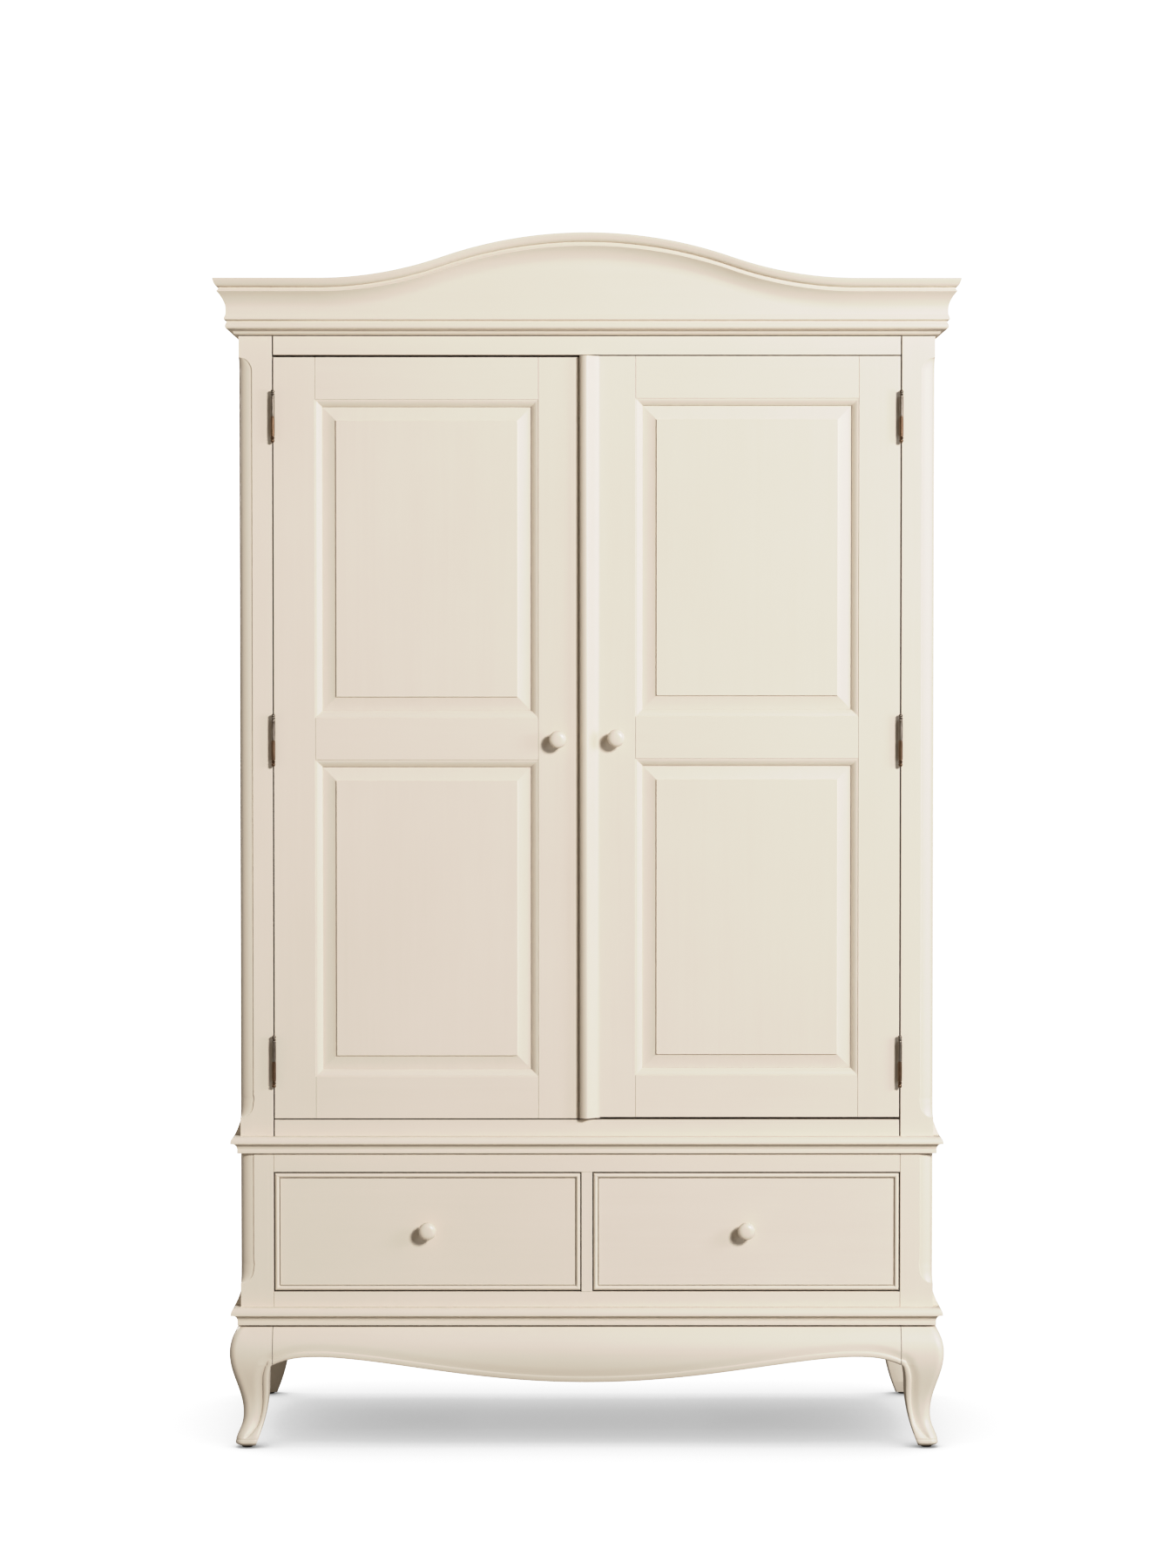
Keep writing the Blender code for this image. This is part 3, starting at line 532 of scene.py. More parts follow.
def leg(word, side, front):
    """A cabriole leg with a bead carved down its inner edges to a rolled toe. A rear leg has a flat back."""
    heights = spaced(LEG_TOP, 0.160, 0.004) + spaced(0.160, 0.134, 0.0012) + spaced(0.134, 0.024, 0.0025)
    heights += spaced(0.024, LEG_FOOT, 0.0008) + [LEG_FOOT]
    loops = []
    for z in heights:
        band = 0.0005 * math.exp(-(((z - TOE_BAND) / 0.0012) ** 2))
        out, inner = leg_out(z) - band, leg_in(z)
        wide, deep = inner + out, inner + (out if front else 0.0)
        corner = 0.012 if front else 0.004
        if front:
            across = [(u, deep - d) for u, d in carved_face(z, wide - corner)]
        else:
            across = [(wide * k / 8 - corner * k / 8, deep) for k in range(9)]
        rounded = arc(wide - corner, deep - corner, corner, corner, 90, 0, 8)[1:-1]
        along = [(wide - d, u) for u, d in reversed(carved_face(z, deep - corner))]
        inside = [(p, q) for p, q in arc(0.004, 0.004, 0.004, 0.004, 270, 180, 4)]
        outline = across + rounded + along + inside
        sign, face = (-1, FRONT + inner) if front else (1, BACK - inner)
        loops.append([(side * (CASE_HALF - inner + p), face + sign * q, z) for p, q in outline])
    name = f"leg_{'front' if front else 'rear'}_{word}"
    piece(f"{name}_carved", lofted(loops), "paint_z", replaces=[name], soft=40)


def glide(word, front):
    name = f"glide_{'front' if front else 'rear'}_{word}"
    box_low, box_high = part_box(name)
    radius, top = (box_high.x - box_low.x) / 2, box_high.z
    profile = [(radius - 0.0022, 0.0), (radius - 0.0010, 0.0002), (radius - 0.0003, 0.0008), (radius, 0.0016)]
    profile += [(radius, top - 0.0005), (radius - 0.0004, top)]
    centre = ((box_low.x + box_high.x) / 2, (box_low.y + box_high.y) / 2, 0)
    piece(f"{name}_disc", turned(profile, centre, (0, 0, 1), 40), "glide", replaces=[name])


def apron_edge(x, half):
    """Height of the front apron's lower edge: two shoulders with a belly between them."""
    shoulder, top, bottom = 0.853 * half, 0.1596, 0.1146
    if abs(x) <= shoulder:
        return top - (top - bottom) * ease((1 - abs(x) / shoulder) ** 0.8)
    return top - 0.0143 * ((abs(x) - shoulder) / (half - shoulder)) ** 2.7


def side_edge(along, half):
    return APRON_END + 0.0143 * ease(1 - abs(along) / half) ** 0.5


def apron(name, half, stations, edge, place, finish):
    """A bowed board with a bead along its lower edge. place(along, out, z) puts a point of it."""
    width = GROOVE[0][1]
    loops = []
    for k in range(stations + 1):
        along = half * (2 * k / stations - 1)
        bottom = edge(along, half)
        crisp = 0.34 + 0.66 * abs(along / half) ** 6
        ups = [width * i / 12 for i in range(13)]
        ups += [width + (LEG_TOP - bottom - width) * (i / 24) ** 1.3 for i in range(1, 25)]
        rows = [(bottom + up, crisp * carved(up, width, DISH_RUN)) for up in ups]
        loop = [place(along, leg_out(z) - depth, z) for z, depth in reversed(rows)]
        loop += [place(along, -0.018, bottom), place(along, -0.018, LEG_TOP)]
        loops.append(loop)
    piece(f"{name}_bowed", lofted(loops), finish, replaces=[name], soft=40)


def build_base():
    for word, side in SIDES:
        for front in (True, False):
            leg(word, side, front)
            glide(word, front)
    joint = 0.0009
    half = CASE_HALF - LEG_WIDE - joint
    apron("apron_front", half, 150, apron_edge, lambda a, out, z: (a, FRONT - out, z), "paint_x")
    y_low, y_high = FRONT + LEG_WIDE + joint, BACK - LEG_WIDE - joint
    middle, half = (y_low + y_high) / 2, (y_high - y_low) / 2
    for word, side in SIDES:
        apron(f"apron_{word}", half, 70, side_edge,
              lambda a, out, z, side=side: (side * (CASE_HALF + out), middle + a, z), "paint_y")
    board("apron_rear_board", *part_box("apron_rear"), "paint_x", replaces=["apron_rear"])


# ---- Moulded boards and cornice ----------------------
def moulded_edge(top, under, lowered):
    """(how far out of the case, height) up a board's edge: a fillet, a cove and a thumb moulding."""
    edge = arc(0.0050, under + 0.0005, 0.0005, 0.0005, -90, 0, 3)
    edge += arc(0.0050, top - 0.0230 - lowered, 0.0005, 0.0005, 0, 60, 2)
    edge += arc(0.0135, top - 0.0225 - lowered, 0.0080, 0.0098, 172, 92, 14)
    edge += [(0.0156, top - 0.0124 - lowered)]
    edge += arc(0.0080, top - 0.0106 - lowered, 0.0085, 0.0106 + lowered, -8, 90, 18)
    return edge


def moulded_board(name, steps, top):
    loops = []
    for out, z in steps:
        x, y = CASE_HALF + out, FRONT - out
        loops.append([(-x, y, z), (x, y, z), (x, BACK, z), (-x, BACK, z)])
    piece(f"{name}_moulded", lofted(loops), "paint_x", replaces=[name], mitred=True)
    for word, side in SIDES:
        hollow = [(0.0010 + 0.0115 * k / 14, 0.0270 * (1 - k / 14) ** 1.3 + CLEAR) for k in range(15)]
        outline = [(CLEAR, 0.0274), *hollow, (CLEAR, CLEAR)]
        loops = [[(side * (CASE_HALF + out), y, top + up) for out, up in outline]
                 for y in (FRONT + COVE_START, FRONT + COVE_START + 0.0005, BACK - 0.001)]
        piece(f"{name}_cove_{word}", lofted(loops), "paint_y")


def build_boards():
    """The base board's underside is set back over the legs. The waist board hangs a lip before the posts.

    Both boards come up just past the feet of the posts and rails that stand on them, which shows no joint.
    """
    under, shade_back = BASE_LOW + 0.0027, -0.030
    groove = [(shade_back, BASE_LOW), (shade_back, under)]
    moulded_board("base_board", groove + moulded_edge(BASE_TOP + 2 * CLEAR, under, 0.0013), BASE_TOP)
    lip = WAIST_LOW - 0.0013
    hung = [(0.0008, WAIST_LOW), (0.0008, lip)]
    moulded_board("waist_board", hung + moulded_edge(WAIST_TOP + 2 * CLEAR, lip, 0.0), WAIST_TOP)


def arch(x):
    """How far the cornice's top rises over its level ends: a crown between two hollows, all true arcs."""
    turn = 2 * math.atan(ARCH_RISE / ARCH_HALF)
    radii = ARCH_HALF / math.sin(turn)
    crown, hollow = radii * ARCH_SHARE, radii * (1 - ARCH_SHARE)
    x = abs(x)
    if x <= crown * math.sin(turn):
        return ARCH_RISE - crown + math.sqrt(crown**2 - x**2)
    if x < ARCH_HALF:
        return hollow - math.sqrt(hollow**2 - (ARCH_HALF - x) ** 2)
    return 0.0


def cornice_section(height):
    """(how far out of the case, height over its underside) round the cornice, for one top height."""
    section = [(-0.022, 0.0006), (0.0010, 0.0006)]
    section += flowing([(0.0018, 0.0008), (0.0045, 0.0014), (0.0073, 0.0033), (0.0087, 0.0060),
                        (0.0100, 0.0082)], 3)
    section += flowing([(0.0104, 0.0085), (0.0148, 0.0092), (0.0196, 0.0109), (0.0216, 0.0139),
                        (0.0213, 0.0178), (0.0194, 0.0216)], 4)
    section += [(0.0187, 0.0226), (0.0187, 0.0240), (0.0224, 0.0257), (0.0233, 0.0264), (0.0235, 0.0280)]
    section += flowing([(0.0234, 0.0290), (0.0224, 0.0318), (0.0211, 0.0350), (0.0207, 0.0379)], 4)
    top = flowing([(0.0207, -0.0583), (0.0207, -0.0524), (0.0216, -0.0450), (0.0244, -0.0378),
                   (0.0285, -0.0306), (0.0327, -0.0252), (0.0350, -0.0226)], 4)
    top += flowing([(0.0347, -0.0212), (0.0333, -0.0198), (0.0316, -0.0168)], 3)
    top += flowing([(0.0316, -0.0156), (0.0347, -0.0147), (0.0381, -0.0112), (0.0408, -0.0050),
                    (0.0416, -0.0012)], 4)
    top += [(0.0414, -0.0004), (0.0407, 0.0), (-0.022, 0.0)]
    return section + [(out, height + up) for out, up in top]


def build_cornice():
    end = CORNICE_END - CORNICE_LOW
    level = cornice_section(end)
    back, mitre = {}, {}
    for side in (-1, 1):
        back[side] = [(side * (CASE_HALF + out), BACK, CORNICE_LOW + up) for out, up in level]
        mitre[side] = [(side * (CASE_HALF + out), FRONT - out, CORNICE_LOW + up) for out, up in level]
    front = []
    stations = 140
    for k in range(stations + 1):
        x = ARCH_HALF * (2 * k / stations - 1)
        front.append([(x, FRONT - out, CORNICE_LOW + up) for out, up in cornice_section(end + arch(x))])
    loops = [back[-1], mitre[-1], *front, mitre[1], back[1]]
    piece("cornice_moulded", lofted(loops), "paint_x", replaces=["cornice"], soft=38)


# ---- Case --------------------------------------------
def post(name, side, rounded):
    """A square post, its outer front corner rounded between two heights, where it dies away in a curve."""
    bottom, top = low(name).z, high(name).z
    width, least, run = ROUND_WIDE, 0.0005, ROUND_RUN
    turns = [math.radians(90 - 7.5 * k) for k in range(13)]
    sections = [(rounded[0] - run * math.sin(a), width * math.cos(a)) for a in turns]
    for k in range(1, 12):
        swell = 0.0012 * math.sin(math.pi * k / 12) ** 2
        sections.append((rounded[0] + 0.0015 * k, width + swell))
    sections += [(rounded[1] + run * math.sin(a), width * math.cos(a)) for a in reversed(turns)]
    sections = [(z, max(w, least)) for z, w in sections if bottom < z < top]
    sections = [(bottom, sections[0][1])] + sections + [(top, sections[-1][1])]
    loops = []
    for z, w in sections:
        step = 0.075 * w
        radius = w - step
        deep = ROUND_SHARE * radius
        corner_x, corner_y = CASE_HALF - w, FRONT + step + deep
        loop = [(OPENING_HALF, FRONT + POST), (OPENING_HALF, FRONT + EASED), (OPENING_HALF + EASED, FRONT)]
        loop += [(corner_x - step * 0.3, FRONT), (corner_x, FRONT + step * 0.25)]
        loop += [(x, 2 * corner_y - y) for x, y in arc(corner_x, corner_y, radius, deep, 90, 0, 18)]
        loop += [(CASE_HALF - step * 0.25, corner_y), (CASE_HALF, corner_y + step * 0.3)]
        loop += [(CASE_HALF, FRONT + POST)]
        loops.append([(side * x, y, z) for x, y in loop])
    piece(f"{name}_rounded", lofted(loops), "paint_z", replaces=[name], soft=38)


def build_posts():
    for word, side in SIDES:
        post(f"lower_post_{word}", side, LOWER_ROUNDED)
        post(f"upper_post_{word}", side, UPPER_ROUNDED)


def panelled(name, place, across, heights, mould, panel, thick, finishes, body, words, replaces):
    """Stiles and rails round panels, each piece apart.

    across is the outer edge, the two edges of the openings and the other outer edge. heights are the bottom,
    each opening's edges and the top. mould and panel are (inset, depth) steps from an opening's edge.
    """
    upright, level = finishes
    stiles = ((across[0], across[1] - HAIR), (across[2] + HAIR, across[3]))
    made = [board(f"{name}_{word}_stile", (a[0], 0.0, heights[0]), (a[1], thick, heights[-1]), upright, body,
                  place=place) for word, a in zip(words, stiles)]
    rail_words = ("bottom", "middle", "top") if len(heights) == 6 else ("bottom", "top")
    for word, z0, z1 in zip(rail_words, heights[::2], heights[1::2]):
        board(f"{name}_{word}_rail", (across[1] + HAIR, 0.0, z0), (across[2] - HAIR, thick, z1), level, body,
              place=place)
    opening = across[1:3]
    panel_words = ("lower", "upper") if len(heights) == 6 else ("",)
    for word, z0, z1 in zip(panel_words, heights[1::2], heights[2::2]):
        word = f"_{word}" if word else ""
        moulding = rectangles(opening, (z0, z1), mould, place, ring=True)
        piece(f"{name}{word}_moulding", moulding, level, body, mitred=True)
        if len(panel) > 2:
            inset = mould[-1][0]
            lip = [(inset, panel[0][1] + CLEAR), (STICKING, panel[0][1] + CLEAR), (STICKING, thick - EASED)]
            lip += [(STICKING - EASED, thick), (inset, thick)]
            piece(f"{name}{word}_lip", rectangles(opening, (z0, z1), lip, place, ring=True), level, body,
                  mitred=True)
        solid = rectangles(opening, (z0, z1), panel, place)
        made.append(piece(f"{name}{word}_panel", solid, upright, body, mitred=True))
    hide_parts(*replaces)


SIDE_MOULD = [(HAIR, 0.0006), (0.0012, 0.0008), (0.0030, 0.0017), (0.0052, 0.0034), (0.0074, 0.0056),
              (0.0092, 0.0063), (0.0100, 0.0064), (0.0100, 0.0069), (HAIR, 0.0069)]


# Openings of the sides: heights that are small or negative are taken from the side's lower or upper end
SIDE_OPENINGS = {"upper": ((0.090, 1.1900), (1.2620, -0.090)), "lower": ((0.055, -0.045),)}


def build_sides():
    """The lower sides carry a runner under each drawer and a guide beside it."""
    for word, side in SIDES:
        def place(a, depth, z, side=side):
            return side * (CASE_HALF - depth), a, z
        for level, openings in SIDE_OPENINGS.items():
            name = f"{level}_side_{word}"
            ends = (low(name).z, high(name).z)
            heights = [ends[0]]
            for lower_z, upper_z in openings:
                heights += [ends[0] + lower_z if lower_z < 0.2 else lower_z]
                heights += [ends[1] + upper_z if upper_z < 0 else upper_z]
            heights += [ends[1]]
            across = (low(name).y, low(name).y + 0.050, BACK - 0.075, BACK)
            panel = [(HAIR, SIDE_T), (HAIR, 0.0070)]
            panelled(name, place, across, heights, SIDE_MOULD, panel, SIDE_T, ("paint_z", "paint_y"), "case",
                     ("front", "rear"), [name])
        inner = {"runner": 0.5150, "guide": 0.5365}
        tops = {"runner": low(f"{word}_drawer_box").z - CLEAR, "guide": GUIDE_TOP}
        floors = {"runner": LOWER[0] + 0.001, "guide": tops["runner"] + 0.00005}
        for part in ("runner", "guide"):
            x0, x1 = sorted((side * (INSIDE_X - CLEAR), side * inner[part]))
            board(f"{part}_{word}", (x0, FRONT + POST + 0.001, floors[part]),
                  (x1, low("lower_back").y - 0.001, tops[part]), "wood_y")


def build_rails():
    """The rails across the front, and the divider between the drawers with its runner and guide."""
    gaps = {"drawer_rail_bottom": CLEAR, "drawer_rail_top": CLEAR, "door_rail_bottom": 0.0020,
            "door_rail_top": 0.0020}
    for name, gap in gaps.items():
        box_low, box_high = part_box(name)
        half = OPENING_HALF - gap
        board(f"{name}_board", (-half, box_low.y, box_low.z), (half, box_high.y, box_high.z), "paint_x",
              replaces=[name])
    half = 0.0095
    rail_low, rail_high = high("drawer_rail_bottom").z, low("drawer_rail_top").z
    inside, back = high("drawer_rail_bottom").y, low("lower_back").y - 0.001
    board("drawer_divider_upright", (-half, FRONT, rail_low + HAIR), (half, inside, rail_high - HAIR),
          "paint_z", replaces=["drawer_divider"])
    runner_top = low("left_drawer_box").z - CLEAR
    board("drawer_divider_runner", (-0.030, inside + 0.0005, LOWER[0]), (0.030, back, runner_top), "wood_y")
    board("drawer_divider_guide", (0.001 - half, inside + 0.0005, runner_top + 0.00005),
          (half - 0.001, back, GUIDE_TOP), "wood_y")


def build_back_and_top():
    """Planks with V-jointed edges behind both cases, and the plain top under the cornice."""
    for level, count in (("lower", 5), ("upper", 9)):
        name = f"{level}_back"
        box_low, box_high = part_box(name)
        for k in range(count):
            if level == "upper":
                x0, x1 = (box_low.x + (box_high.x - box_low.x) * (k + e) / count for e in (0, 1))
                ends = (x0 + HAIR, box_low.y, box_low.z), (x1 - HAIR, box_high.y, box_high.z)
            else:
                z0, z1 = (box_low.z + (box_high.z - box_low.z) * (k + e) / count for e in (0, 1))
                ends = (box_low.x, box_low.y, z0 + HAIR), (box_high.x, box_high.y, z1 - HAIR)
            board(f"{name}_plank_{k + 1}", *ends, "wood_z" if level == "upper" else "wood_x",
                  replaces=[] if k else [name], radius=0.0016)
    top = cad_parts["upper_top"]
    top.data.materials.clear()
    top.data.materials.append(FINISHES["wood_x"])


def build_tongues():
    """The planks' tongues, as one thin sheet inside each back: no daylight comes in between the planks."""
    for level, finish in (("lower", "wood_x"), ("upper", "wood_z")):
        name = f"{level}_back"
        box_low, box_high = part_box(name)
        middle, inset = (box_low.y + box_high.y) / 2, 0.002
        board(f"{name}_tongues", (box_low.x + inset, middle - 0.001, box_low.z + inset),
              (box_high.x - inset, middle + 0.001, box_high.z - inset), finish, radius=0.0003)


def build_hanging_rail():
    box_low, box_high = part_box("hanging_rail")
    radius = (box_high.z - box_low.z) / 2
    y, z = (box_low.y + box_high.y) / 2, (box_low.z + box_high.z) / 2
    tube = turned([(radius, box_low.x), (radius, 0.0), (radius, box_high.x)], (0, y, z), (1, 0, 0), 64)
    piece("hanging_rail_tube", tube, "steel", replaces=["hanging_rail"])
    for word, side in SIDES:
        bore = radius + 0.0004
        profile = [(bore, 0.0038), (bore, 0.0155), (bore + 0.0006, 0.0162), (0.0160, 0.0162)]
        profile += [(0.0166, 0.0155)]
        profile += flowing([(0.0168, 0.0100), (0.0172, 0.0070), (0.0190, 0.0048), (0.0225, 0.0034)], 5)
        profile += [(0.0252, 0.0028), (0.0260, 0.0020), (0.0260, CLEAR)]
        cup = turned(profile, (side * INSIDE_X, y, z), (-side, 0, 0), 64)
        piece(f"rail_socket_{word}_cup", cup, "steel", replaces=[f"rail_socket_{word}"])
        for k in range(3):
            angle = math.radians(90 + 120 * k)
            spot = (side * INSIDE_X, y + 0.0215 * math.cos(angle), z + 0.0215 * math.sin(angle))
            screw = [(0.0028, 0.0026), (0.0028, 0.0038), (0.0024, 0.0044), (0.0012, 0.0048),
                     (0.0002, 0.0049)]
            piece(f"rail_socket_{word}_screw_{k + 1}", turned(screw, spot, (-side, 0, 0), 24), "steel")


# ---- Doors -------------------------------------------
def knob(name, body):
    """A turned wooden knob: a collar, a waist and a mushroom head. Its foot is where the CAD knob's is."""
    box_low, box_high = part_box(name)
    x, z = (box_low.x + box_high.x) / 2, (box_low.z + box_high.z) / 2
    profile = [(0.0086, 0.0), (0.0090, 0.0003)]
    profile += flowing([(0.0090, 0.0014), (0.0080, 0.0026), (0.0064, 0.0044), (0.0060, 0.0080),
                        (0.0074, 0.0112), (0.0112, 0.0138), (0.0141, 0.0166), (0.0150, 0.0202),
                        (0.0142, 0.0238), (0.0116, 0.0264), (0.0075, 0.0278), (0.0030, 0.0282)], 5)
    profile += [(0.0008, 0.02825)]
    head = turned(profile, (x, box_high.y, z), (0, -1, 0), 64)
    piece(f"{name}_turned", head, "knob", body, [name], soft=50)


def door(word):
    body, name = f"{word}_door", f"{word}_door_frame"
    panels = [f"{word}_door_panel_{level}" for level in ("lower", "upper")]
    bottom, top = high(name).z - DOOR_H, high(name).z
    if word == "left":
        edges = (low(name).x - STILE_REACH, high(name).x)
    else:
        edges = (low(name).x + STRIP_LAP, high(name).x + STILE_REACH)
    across = (edges[0], low(panels[0]).x - PANEL_TUCK, high(panels[0]).x + PANEL_TUCK, edges[1])
    heights = [bottom]
    for panel in panels:
        heights += [low(panel).z - PANEL_TUCK, high(panel).z + PANEL_TUCK]
    heights += [top]
    steps, start = 14, 0.0015
    run = STICKING - start
    mould = [(-0.0010, 0.0012), (start, 0.0012)]
    shares = [k / steps for k in range(1, steps + 1)]
    mould += [(start + run * t, 0.0012 + 0.0021 * t + 0.0045 * t * t) for t in shares]
    mould += [(STICKING, 0.0092), (-0.0010, 0.0092)]
    field = STICKING + FIELD_BEVEL
    panel = [(PANEL_TUCK, 0.0158), (PANEL_TUCK, 0.0096), (STICKING, 0.0096), (field, 0.0036)]
    panel += [(field + 0.0001, 0.0016), (field + 0.0004, 0.0012)]
    words = ("hinge", "lock") if word == "left" else ("lock", "hinge")
    panelled(f"{word}_door", lambda a, depth, z: (a, DOOR_FACE + depth, z), across, heights, mould, panel,
             DOOR_T, ("paint_z", "paint_x"), body, words, [name, *panels])
    knob(f"{word}_door_knob", body)
    if word == "right":
        meeting_strip(body, top)


def meeting_strip(body, top):
    """The rounded strip on the right door's edge: upright on its left, easing away on its right."""
    box_low = low("right_door_frame")
    x0, proud, bottom = box_low.x, DOOR_FACE - box_low.y, box_low.z
    x1, crest, wall = x0 + 0.0350, x0 + 0.0125, 0.0060
    outline = [(x0, 0.0), (x0, wall * 0.5)]
    outline += arc(crest, wall, crest - x0, proud - wall, 180, 90, 16)
    shares = [k / 24 for k in range(1, 25)]
    outline += [(crest + (x1 - crest) * t, proud * (1 - ease(t**0.7)) + 0.0001) for t in shares]
    outline += [(x1, -0.0002), (x0 + 0.0012, -0.0002)]
    loops = []
    for z, scale in ((bottom, 0.94), (bottom + 0.0005, 0.985), (bottom + 0.0014, 1.0), (top - 0.0012, 1.0),
                     (top - 0.0004, 0.985), (top, 0.95)):
        loops.append([(x, DOOR_FACE - up * scale, z) for x, up in outline])
    piece("meeting_strip", lofted(loops), "paint_z", body)


# ---- Hinges ------------------------------------------
def joined(name, shapes):
    """One mesh from overlapping solids."""
    parts = [placed(f"{name}_{k}", mesh_of(f"{name}_{k}", *shape)) for k, shape in enumerate(shapes)]
    for part in parts[1:]:
        union = parts[0].modifiers.new(part.name, "BOOLEAN")
        union.operation = "UNION"
        union.solver = "EXACT"
        union.object = part
    bpy.context.view_layer.update()
    mesh = bpy.data.meshes.new_from_object(parts[0].evaluated_get(bpy.context.evaluated_depsgraph_get()))
    for part in parts:
        bpy.data.objects.remove(part)
    mesh.shade_smooth()
    mesh.set_sharp_from_angle(angle=math.radians(32))
    return mesh


def hinge_half(side, fixed, x, y):
    """Half of a lift-off hinge about its centre: barrel, urn finial, leaf and the neck between them."""
    up = -1 if fixed else 1
    finial = [(0.0033, 0.0002), (0.0026, 0.0008), (0.0025, 0.0013), (0.0035, 0.0022), (0.0040, 0.0031),
              (0.0035, 0.0042), (0.0026, 0.0050), (0.0025, 0.0056), (0.0033, 0.0066), (0.0036, 0.0078),
              (0.0033, 0.0092), (0.0024, 0.0107), (0.0012, 0.0114), (0.0003, 0.0116)]
    bore, depth = (0.0021, -0.0220) if fixed else (0.0025, 0.0226)  # the pin, or the hole that it turns in
    barrel = [(bore, depth), (bore, CLEAR), (BARREL_R - 0.0003, CLEAR), (BARREL_R, CLEAR + 0.0003)]
    for along in (0.0030, BARREL_HALF - 0.0035):
        barrel += [(BARREL_R, along - 0.0005), (BARREL_R - 0.00035, along), (BARREL_R, along + 0.0005)]
    barrel += [(BARREL_R, BARREL_HALF - 0.0003), (BARREL_R - 0.0003, BARREL_HALF)]
    barrel += [(radius, BARREL_HALF + along) for radius, along in finial]
    turning = turned([(r, up * along) for r, along in barrel], (x, y, 0), (0, 0, 1), 32)
    gap = 0.0015 - CLEAR
    near, far = (gap, gap - 0.0009) if fixed else (-gap, 0.0009 - gap)
    x0, x1 = sorted((x + side * near, x + side * far))
    start = FRONT + CLEAR
    leaf = box((x0, start, -BARREL_HALF), (x1, start + 0.0180, BARREL_HALF))
    z0, z1 = sorted((up * 0.0010, up * (BARREL_HALF - 0.0005)))
    neck = box((x0 + 0.00005, y + BARREL_R * 0.75, z0), (x1 - 0.00005, start + 0.002, z1))
    return [turning, leaf, neck], (x0, x1, start)


def hinge_screws(side, fixed, plate):
    """Three domed screw heads on the leaf's open face."""
    x0, x1, start = plate
    face, out = (min(x0, x1, key=abs), -side) if fixed else (max(x0, x1, key=abs), side)
    heads = []
    for z in (-0.022, 0.0, 0.022):
        dome = [(0.0024, -0.0002), (0.0024, 0.00005), (0.0020, 0.00020), (0.0010, 0.00028), (0.0002, 0.0003)]
        heads.append(turned(dome, (face, start + 0.0100, z), (out, 0, 0), 20))
    return heads


def build_hinges():
    for word, side in SIDES:
        for fixed, kind in ((True, "frame"), (False, "door")):
            nodes = [f"{word}_hinge_{where}_{kind}_half" for where in ("bottom", "middle", "top")]
            axis = side * (OPENING_HALF - 0.0015)
            shapes, plate = hinge_half(side, fixed, axis, FRONT - HINGE_OUT)
            whole = joined(f"{word}_{kind}", shapes + hinge_screws(side, fixed, plate))
            for node in nodes:
                mesh = whole.copy()
                leaf_low = low(node).z if fixed else high(node).z
                reach = BARREL_HALF + 0.0115
                centre = leaf_low + reach if fixed else leaf_low - reach
                for vertex in mesh.vertices:
                    vertex.co.z += centre
                shown(f"{node}_turned", mesh, f"brass_{kind}", "case" if fixed else f"{word}_door", [node])
            bpy.data.meshes.remove(whole)


# ---- Drawers -----------------------------------------
def drawer(word):
    """A front with a beaded edge, and a box of bare boards behind it."""
    body = f"{word}_drawer"
    box_low, box_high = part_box(f"{word}_drawer_front")
    depth = box_high.y - box_low.y
    bead_half, fillet, quirk, field = 0.00375, 0.0034, 0.0050, 0.0030
    steps = [(0.0, depth), (0.0, 0.0038)]
    steps += [(bead_half + x, fillet - up) for x, up in arc(0, 0, bead_half, fillet, 180, 0, 14)]
    inner = 2 * bead_half
    steps += [(inner + 0.0001, quirk), (inner + 0.0016, quirk), (inner + 0.0017, field)]

    def place(a, d, z):
        return a, box_low.y + d, z

    across, z = (box_low.x, box_high.x), (box_low.z, box_high.z)
    piece(f"{word}_drawer_front_beaded", rectangles(across, z, steps, place), "paint_x", body,
          [f"{word}_drawer_front"], mitred=True)
    node = f"{word}_drawer_box"
    (x0, y0, z0), (x1, y1, z1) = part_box(node)
    wall, floor, gap = 0.012, 0.009, 0.0001
    left, right, foot = x0 + wall + gap, x1 - wall - gap, z0 + floor + gap
    board(f"{node}_left_side", (x0, y0, z0), (x0 + wall, y1, z1), "wood_y", body, [node], 0.0010)
    board(f"{node}_right_side", (x1 - wall, y0, z0), (x1, y1, z1), "wood_y", body, radius=0.0010)
    board(f"{node}_inner_front", (left, y0, foot), (right, y0 + wall, z1), "wood_x", body, radius=0.0010)
    board(f"{node}_rear", (left, y1 - wall, foot), (right, y1, z1 - 0.004), "wood_x", body, radius=0.0010)
    board(f"{node}_bottom", (left, y0, z0 + 0.0005), (right, y1, z0 + floor), "wood_x", body)
    knob(f"{word}_drawer_knob", body)


# ---- Stage, light and camera -------------------------
def area_light(name, place, target, size, watts, colour=(1.0, 1.0, 1.0)):
    lamp = bpy.data.lights.new(name, "AREA")
    lamp.shape = "DISK"
    lamp.size = size
    lamp.energy = watts
    lamp.color = colour
    obj = placed(name, lamp)
    obj.location = place
    obj.rotation_euler = (Vector(target) - Vector(place)).to_track_quat("-Z", "Y").to_euler()


def seen_or_cast(n, seen, cast):
    """The colour of a glow: white where it is seen, and warm for the light that it casts."""
    warm = n.add("VectorMath", {"operation": "SCALE"}, Vector=CAST_TINT, Scale=cast)
    white = n.add("VectorMath", {"operation": "SCALE"}, Vector=(1.0, 1.0, 1.0), Scale=seen)
    return n.mix(n.add("LightPath").outputs["Is Camera Ray"], warm.outputs[0], white.outputs[0])


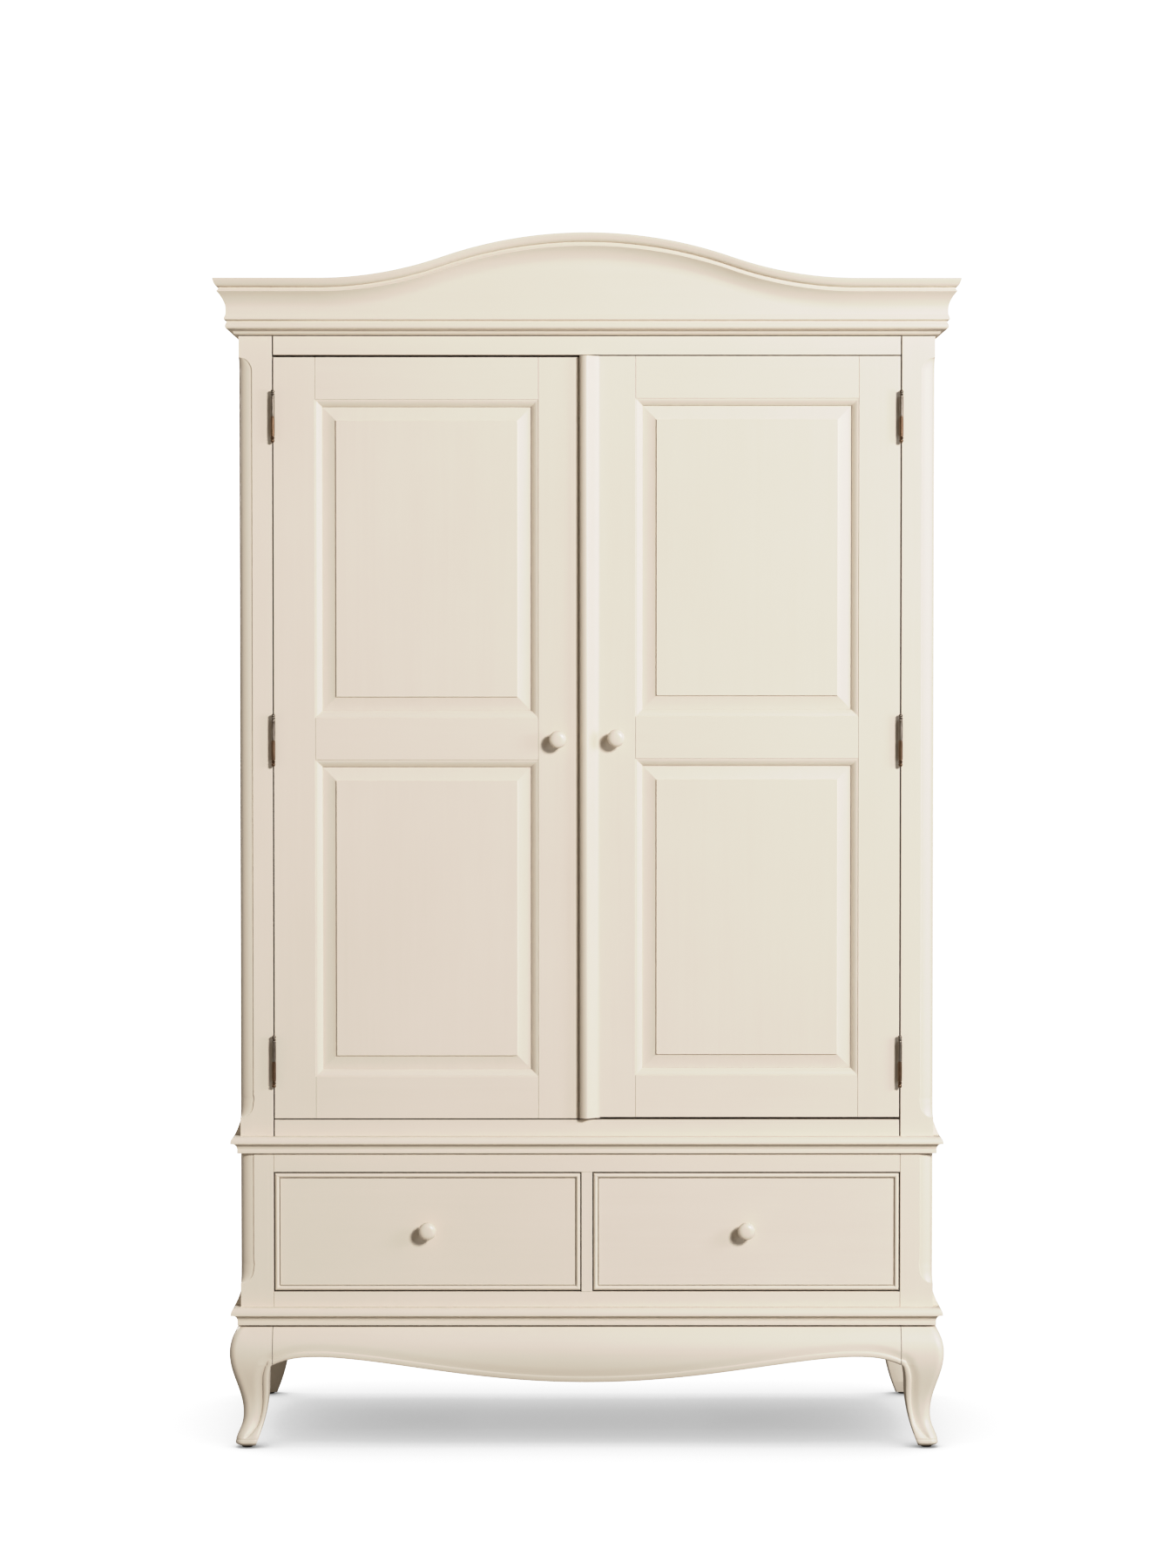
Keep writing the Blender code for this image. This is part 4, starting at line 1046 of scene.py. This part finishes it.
def glow_with_painted_shade(n, distance, samples, darkest, brightest):
    """A glow strength with painted shade: it falls from brightest on open floor to darkest well under
    something.
    """
    near = n.add("AmbientOcclusion", {"samples": samples}, Distance=distance).outputs["AO"]
    return n.add("MapRange", {"interpolation_type": "SMOOTHSTEP"}, Value=near, From_Max=0.92,
                 To_Min=darkest, To_Max=brightest).outputs[0]


def build_stage():
    """A pale floor that glows like a lit studio cove, with painted shadow only close round the furniture;
    though no lamp, its glow also lights the furniture.
    """
    mesh = bpy.data.meshes.new("studio_floor")
    reach = 30.0
    mesh.from_pydata([(-reach, -reach, 0), (reach, -reach, 0), (reach, reach, 0), (-reach, reach, 0)], [],
                     [(0, 1, 2, 3)])
    floor = placed("studio_floor", mesh)
    finish = bpy.data.materials.new("studio_floor")
    finish.use_nodes = True
    n = Nodes(finish.node_tree)
    n.tree.nodes.remove(n.tree.nodes["Principled BSDF"])
    # Painted shadow: the floor's glow is darkened broadly under the furniture and closely round its feet.
    soft = glow_with_painted_shade(n, 0.42, 24, 0.42, OPEN_FLOOR)
    contact_painted_shadow = glow_with_painted_shade(n, 0.030, 6, 0.45, 1.0)
    seen = n.times(soft, contact_painted_shadow)
    # The bright end is spread out as the soft shoulder will squeeze it.
    over = n.maths("MAXIMUM", n.maths("SUBTRACT", seen, 0.5), 0.0)
    lifted = n.maths("MULTIPLY_ADD", n.maths("POWER", over, 4.0), 16.0, seen)
    # The floor is no lamp, yet its glow lights the furniture from below, with painted shade under the case.
    cast = glow_with_painted_shade(n, 1.0, 3, 0.05, 0.28)
    glow = n.add("Emission", Color=seen_or_cast(n, lifted, cast))
    n.put(n.tree.nodes["Material Output"].inputs["Surface"], glow.outputs[0])
    mesh.materials.append(finish)


def build_light():
    """One big lamp high on the right, weak ones on either side and beside the left, and one behind."""
    world = bpy.data.worlds.new("studio")
    world.use_nodes = True
    bpy.context.scene.world = world
    n = Nodes(world.node_tree)
    n.put(n.tree.nodes["Background"].inputs["Color"], seen_or_cast(n, SEEN_WHITE, WORLD_CAST))
    area_light("key_light", (4.1, FRONT - 6.74, 4.1), (0.0, FRONT, 1.1), 1.7, 722.0)
    area_light("right_light", (3.4, FRONT - 1.7, 1.7), (0.3, FRONT, 1.2), 1.2, 31.0, (0.88, 0.93, 1.0))
    area_light("left_light", (-4.5, FRONT - 3.0, 1.4), (0.0, FRONT, 1.0), 2.0, 13.0, CAST_TINT)
    area_light("side_light", (-4.2, FRONT + 0.6, 3.2), (-0.6, 0.0, 1.1), 2.0, 40.0)
    area_light("far_light", (-3.4, BACK + 4.4, 3.0), (0.0, BACK, 1.0), 2.5, 150.0)


def build_response():
    """True tones up to the middle ones and then a long soft shoulder, so that lit paint doesn't burn out."""
    view = bpy.context.scene.view_settings
    view.view_transform = "Standard"
    view.use_curve_mapping = True
    mapping = view.curve_mapping
    mapping.clip_max_x = SEEN_WHITE
    curve = mapping.curves[3]
    curve.points[-1].location = SHOULDER[-1]
    for light, shown_as in SHOULDER[:-1]:
        curve.points.new(light, shown_as)
    mapping.update()


def build_camera():
    """A long lens straight on, a little above the middle and tipped down by less than two degrees."""
    lens = bpy.data.cameras.new("camera")
    lens.lens = 99.2
    camera = placed("camera", lens)
    camera.location = (-0.0121, FRONT - 7.423, 1.3813)
    camera.rotation_euler = (math.radians(90 - 1.81), 0.0, math.radians(-0.108))
    bpy.context.scene.camera = camera


build_finishes()
build_base()
build_boards()
build_cornice()
build_posts()
build_sides()
build_rails()
build_back_and_top()
build_hanging_rail()
build_hinges()
for word, _ in SIDES:
    door(word)
    drawer(word)
build_tongues()
build_stage()
build_light()
build_response()
build_camera()

bpy.context.view_layer.update()
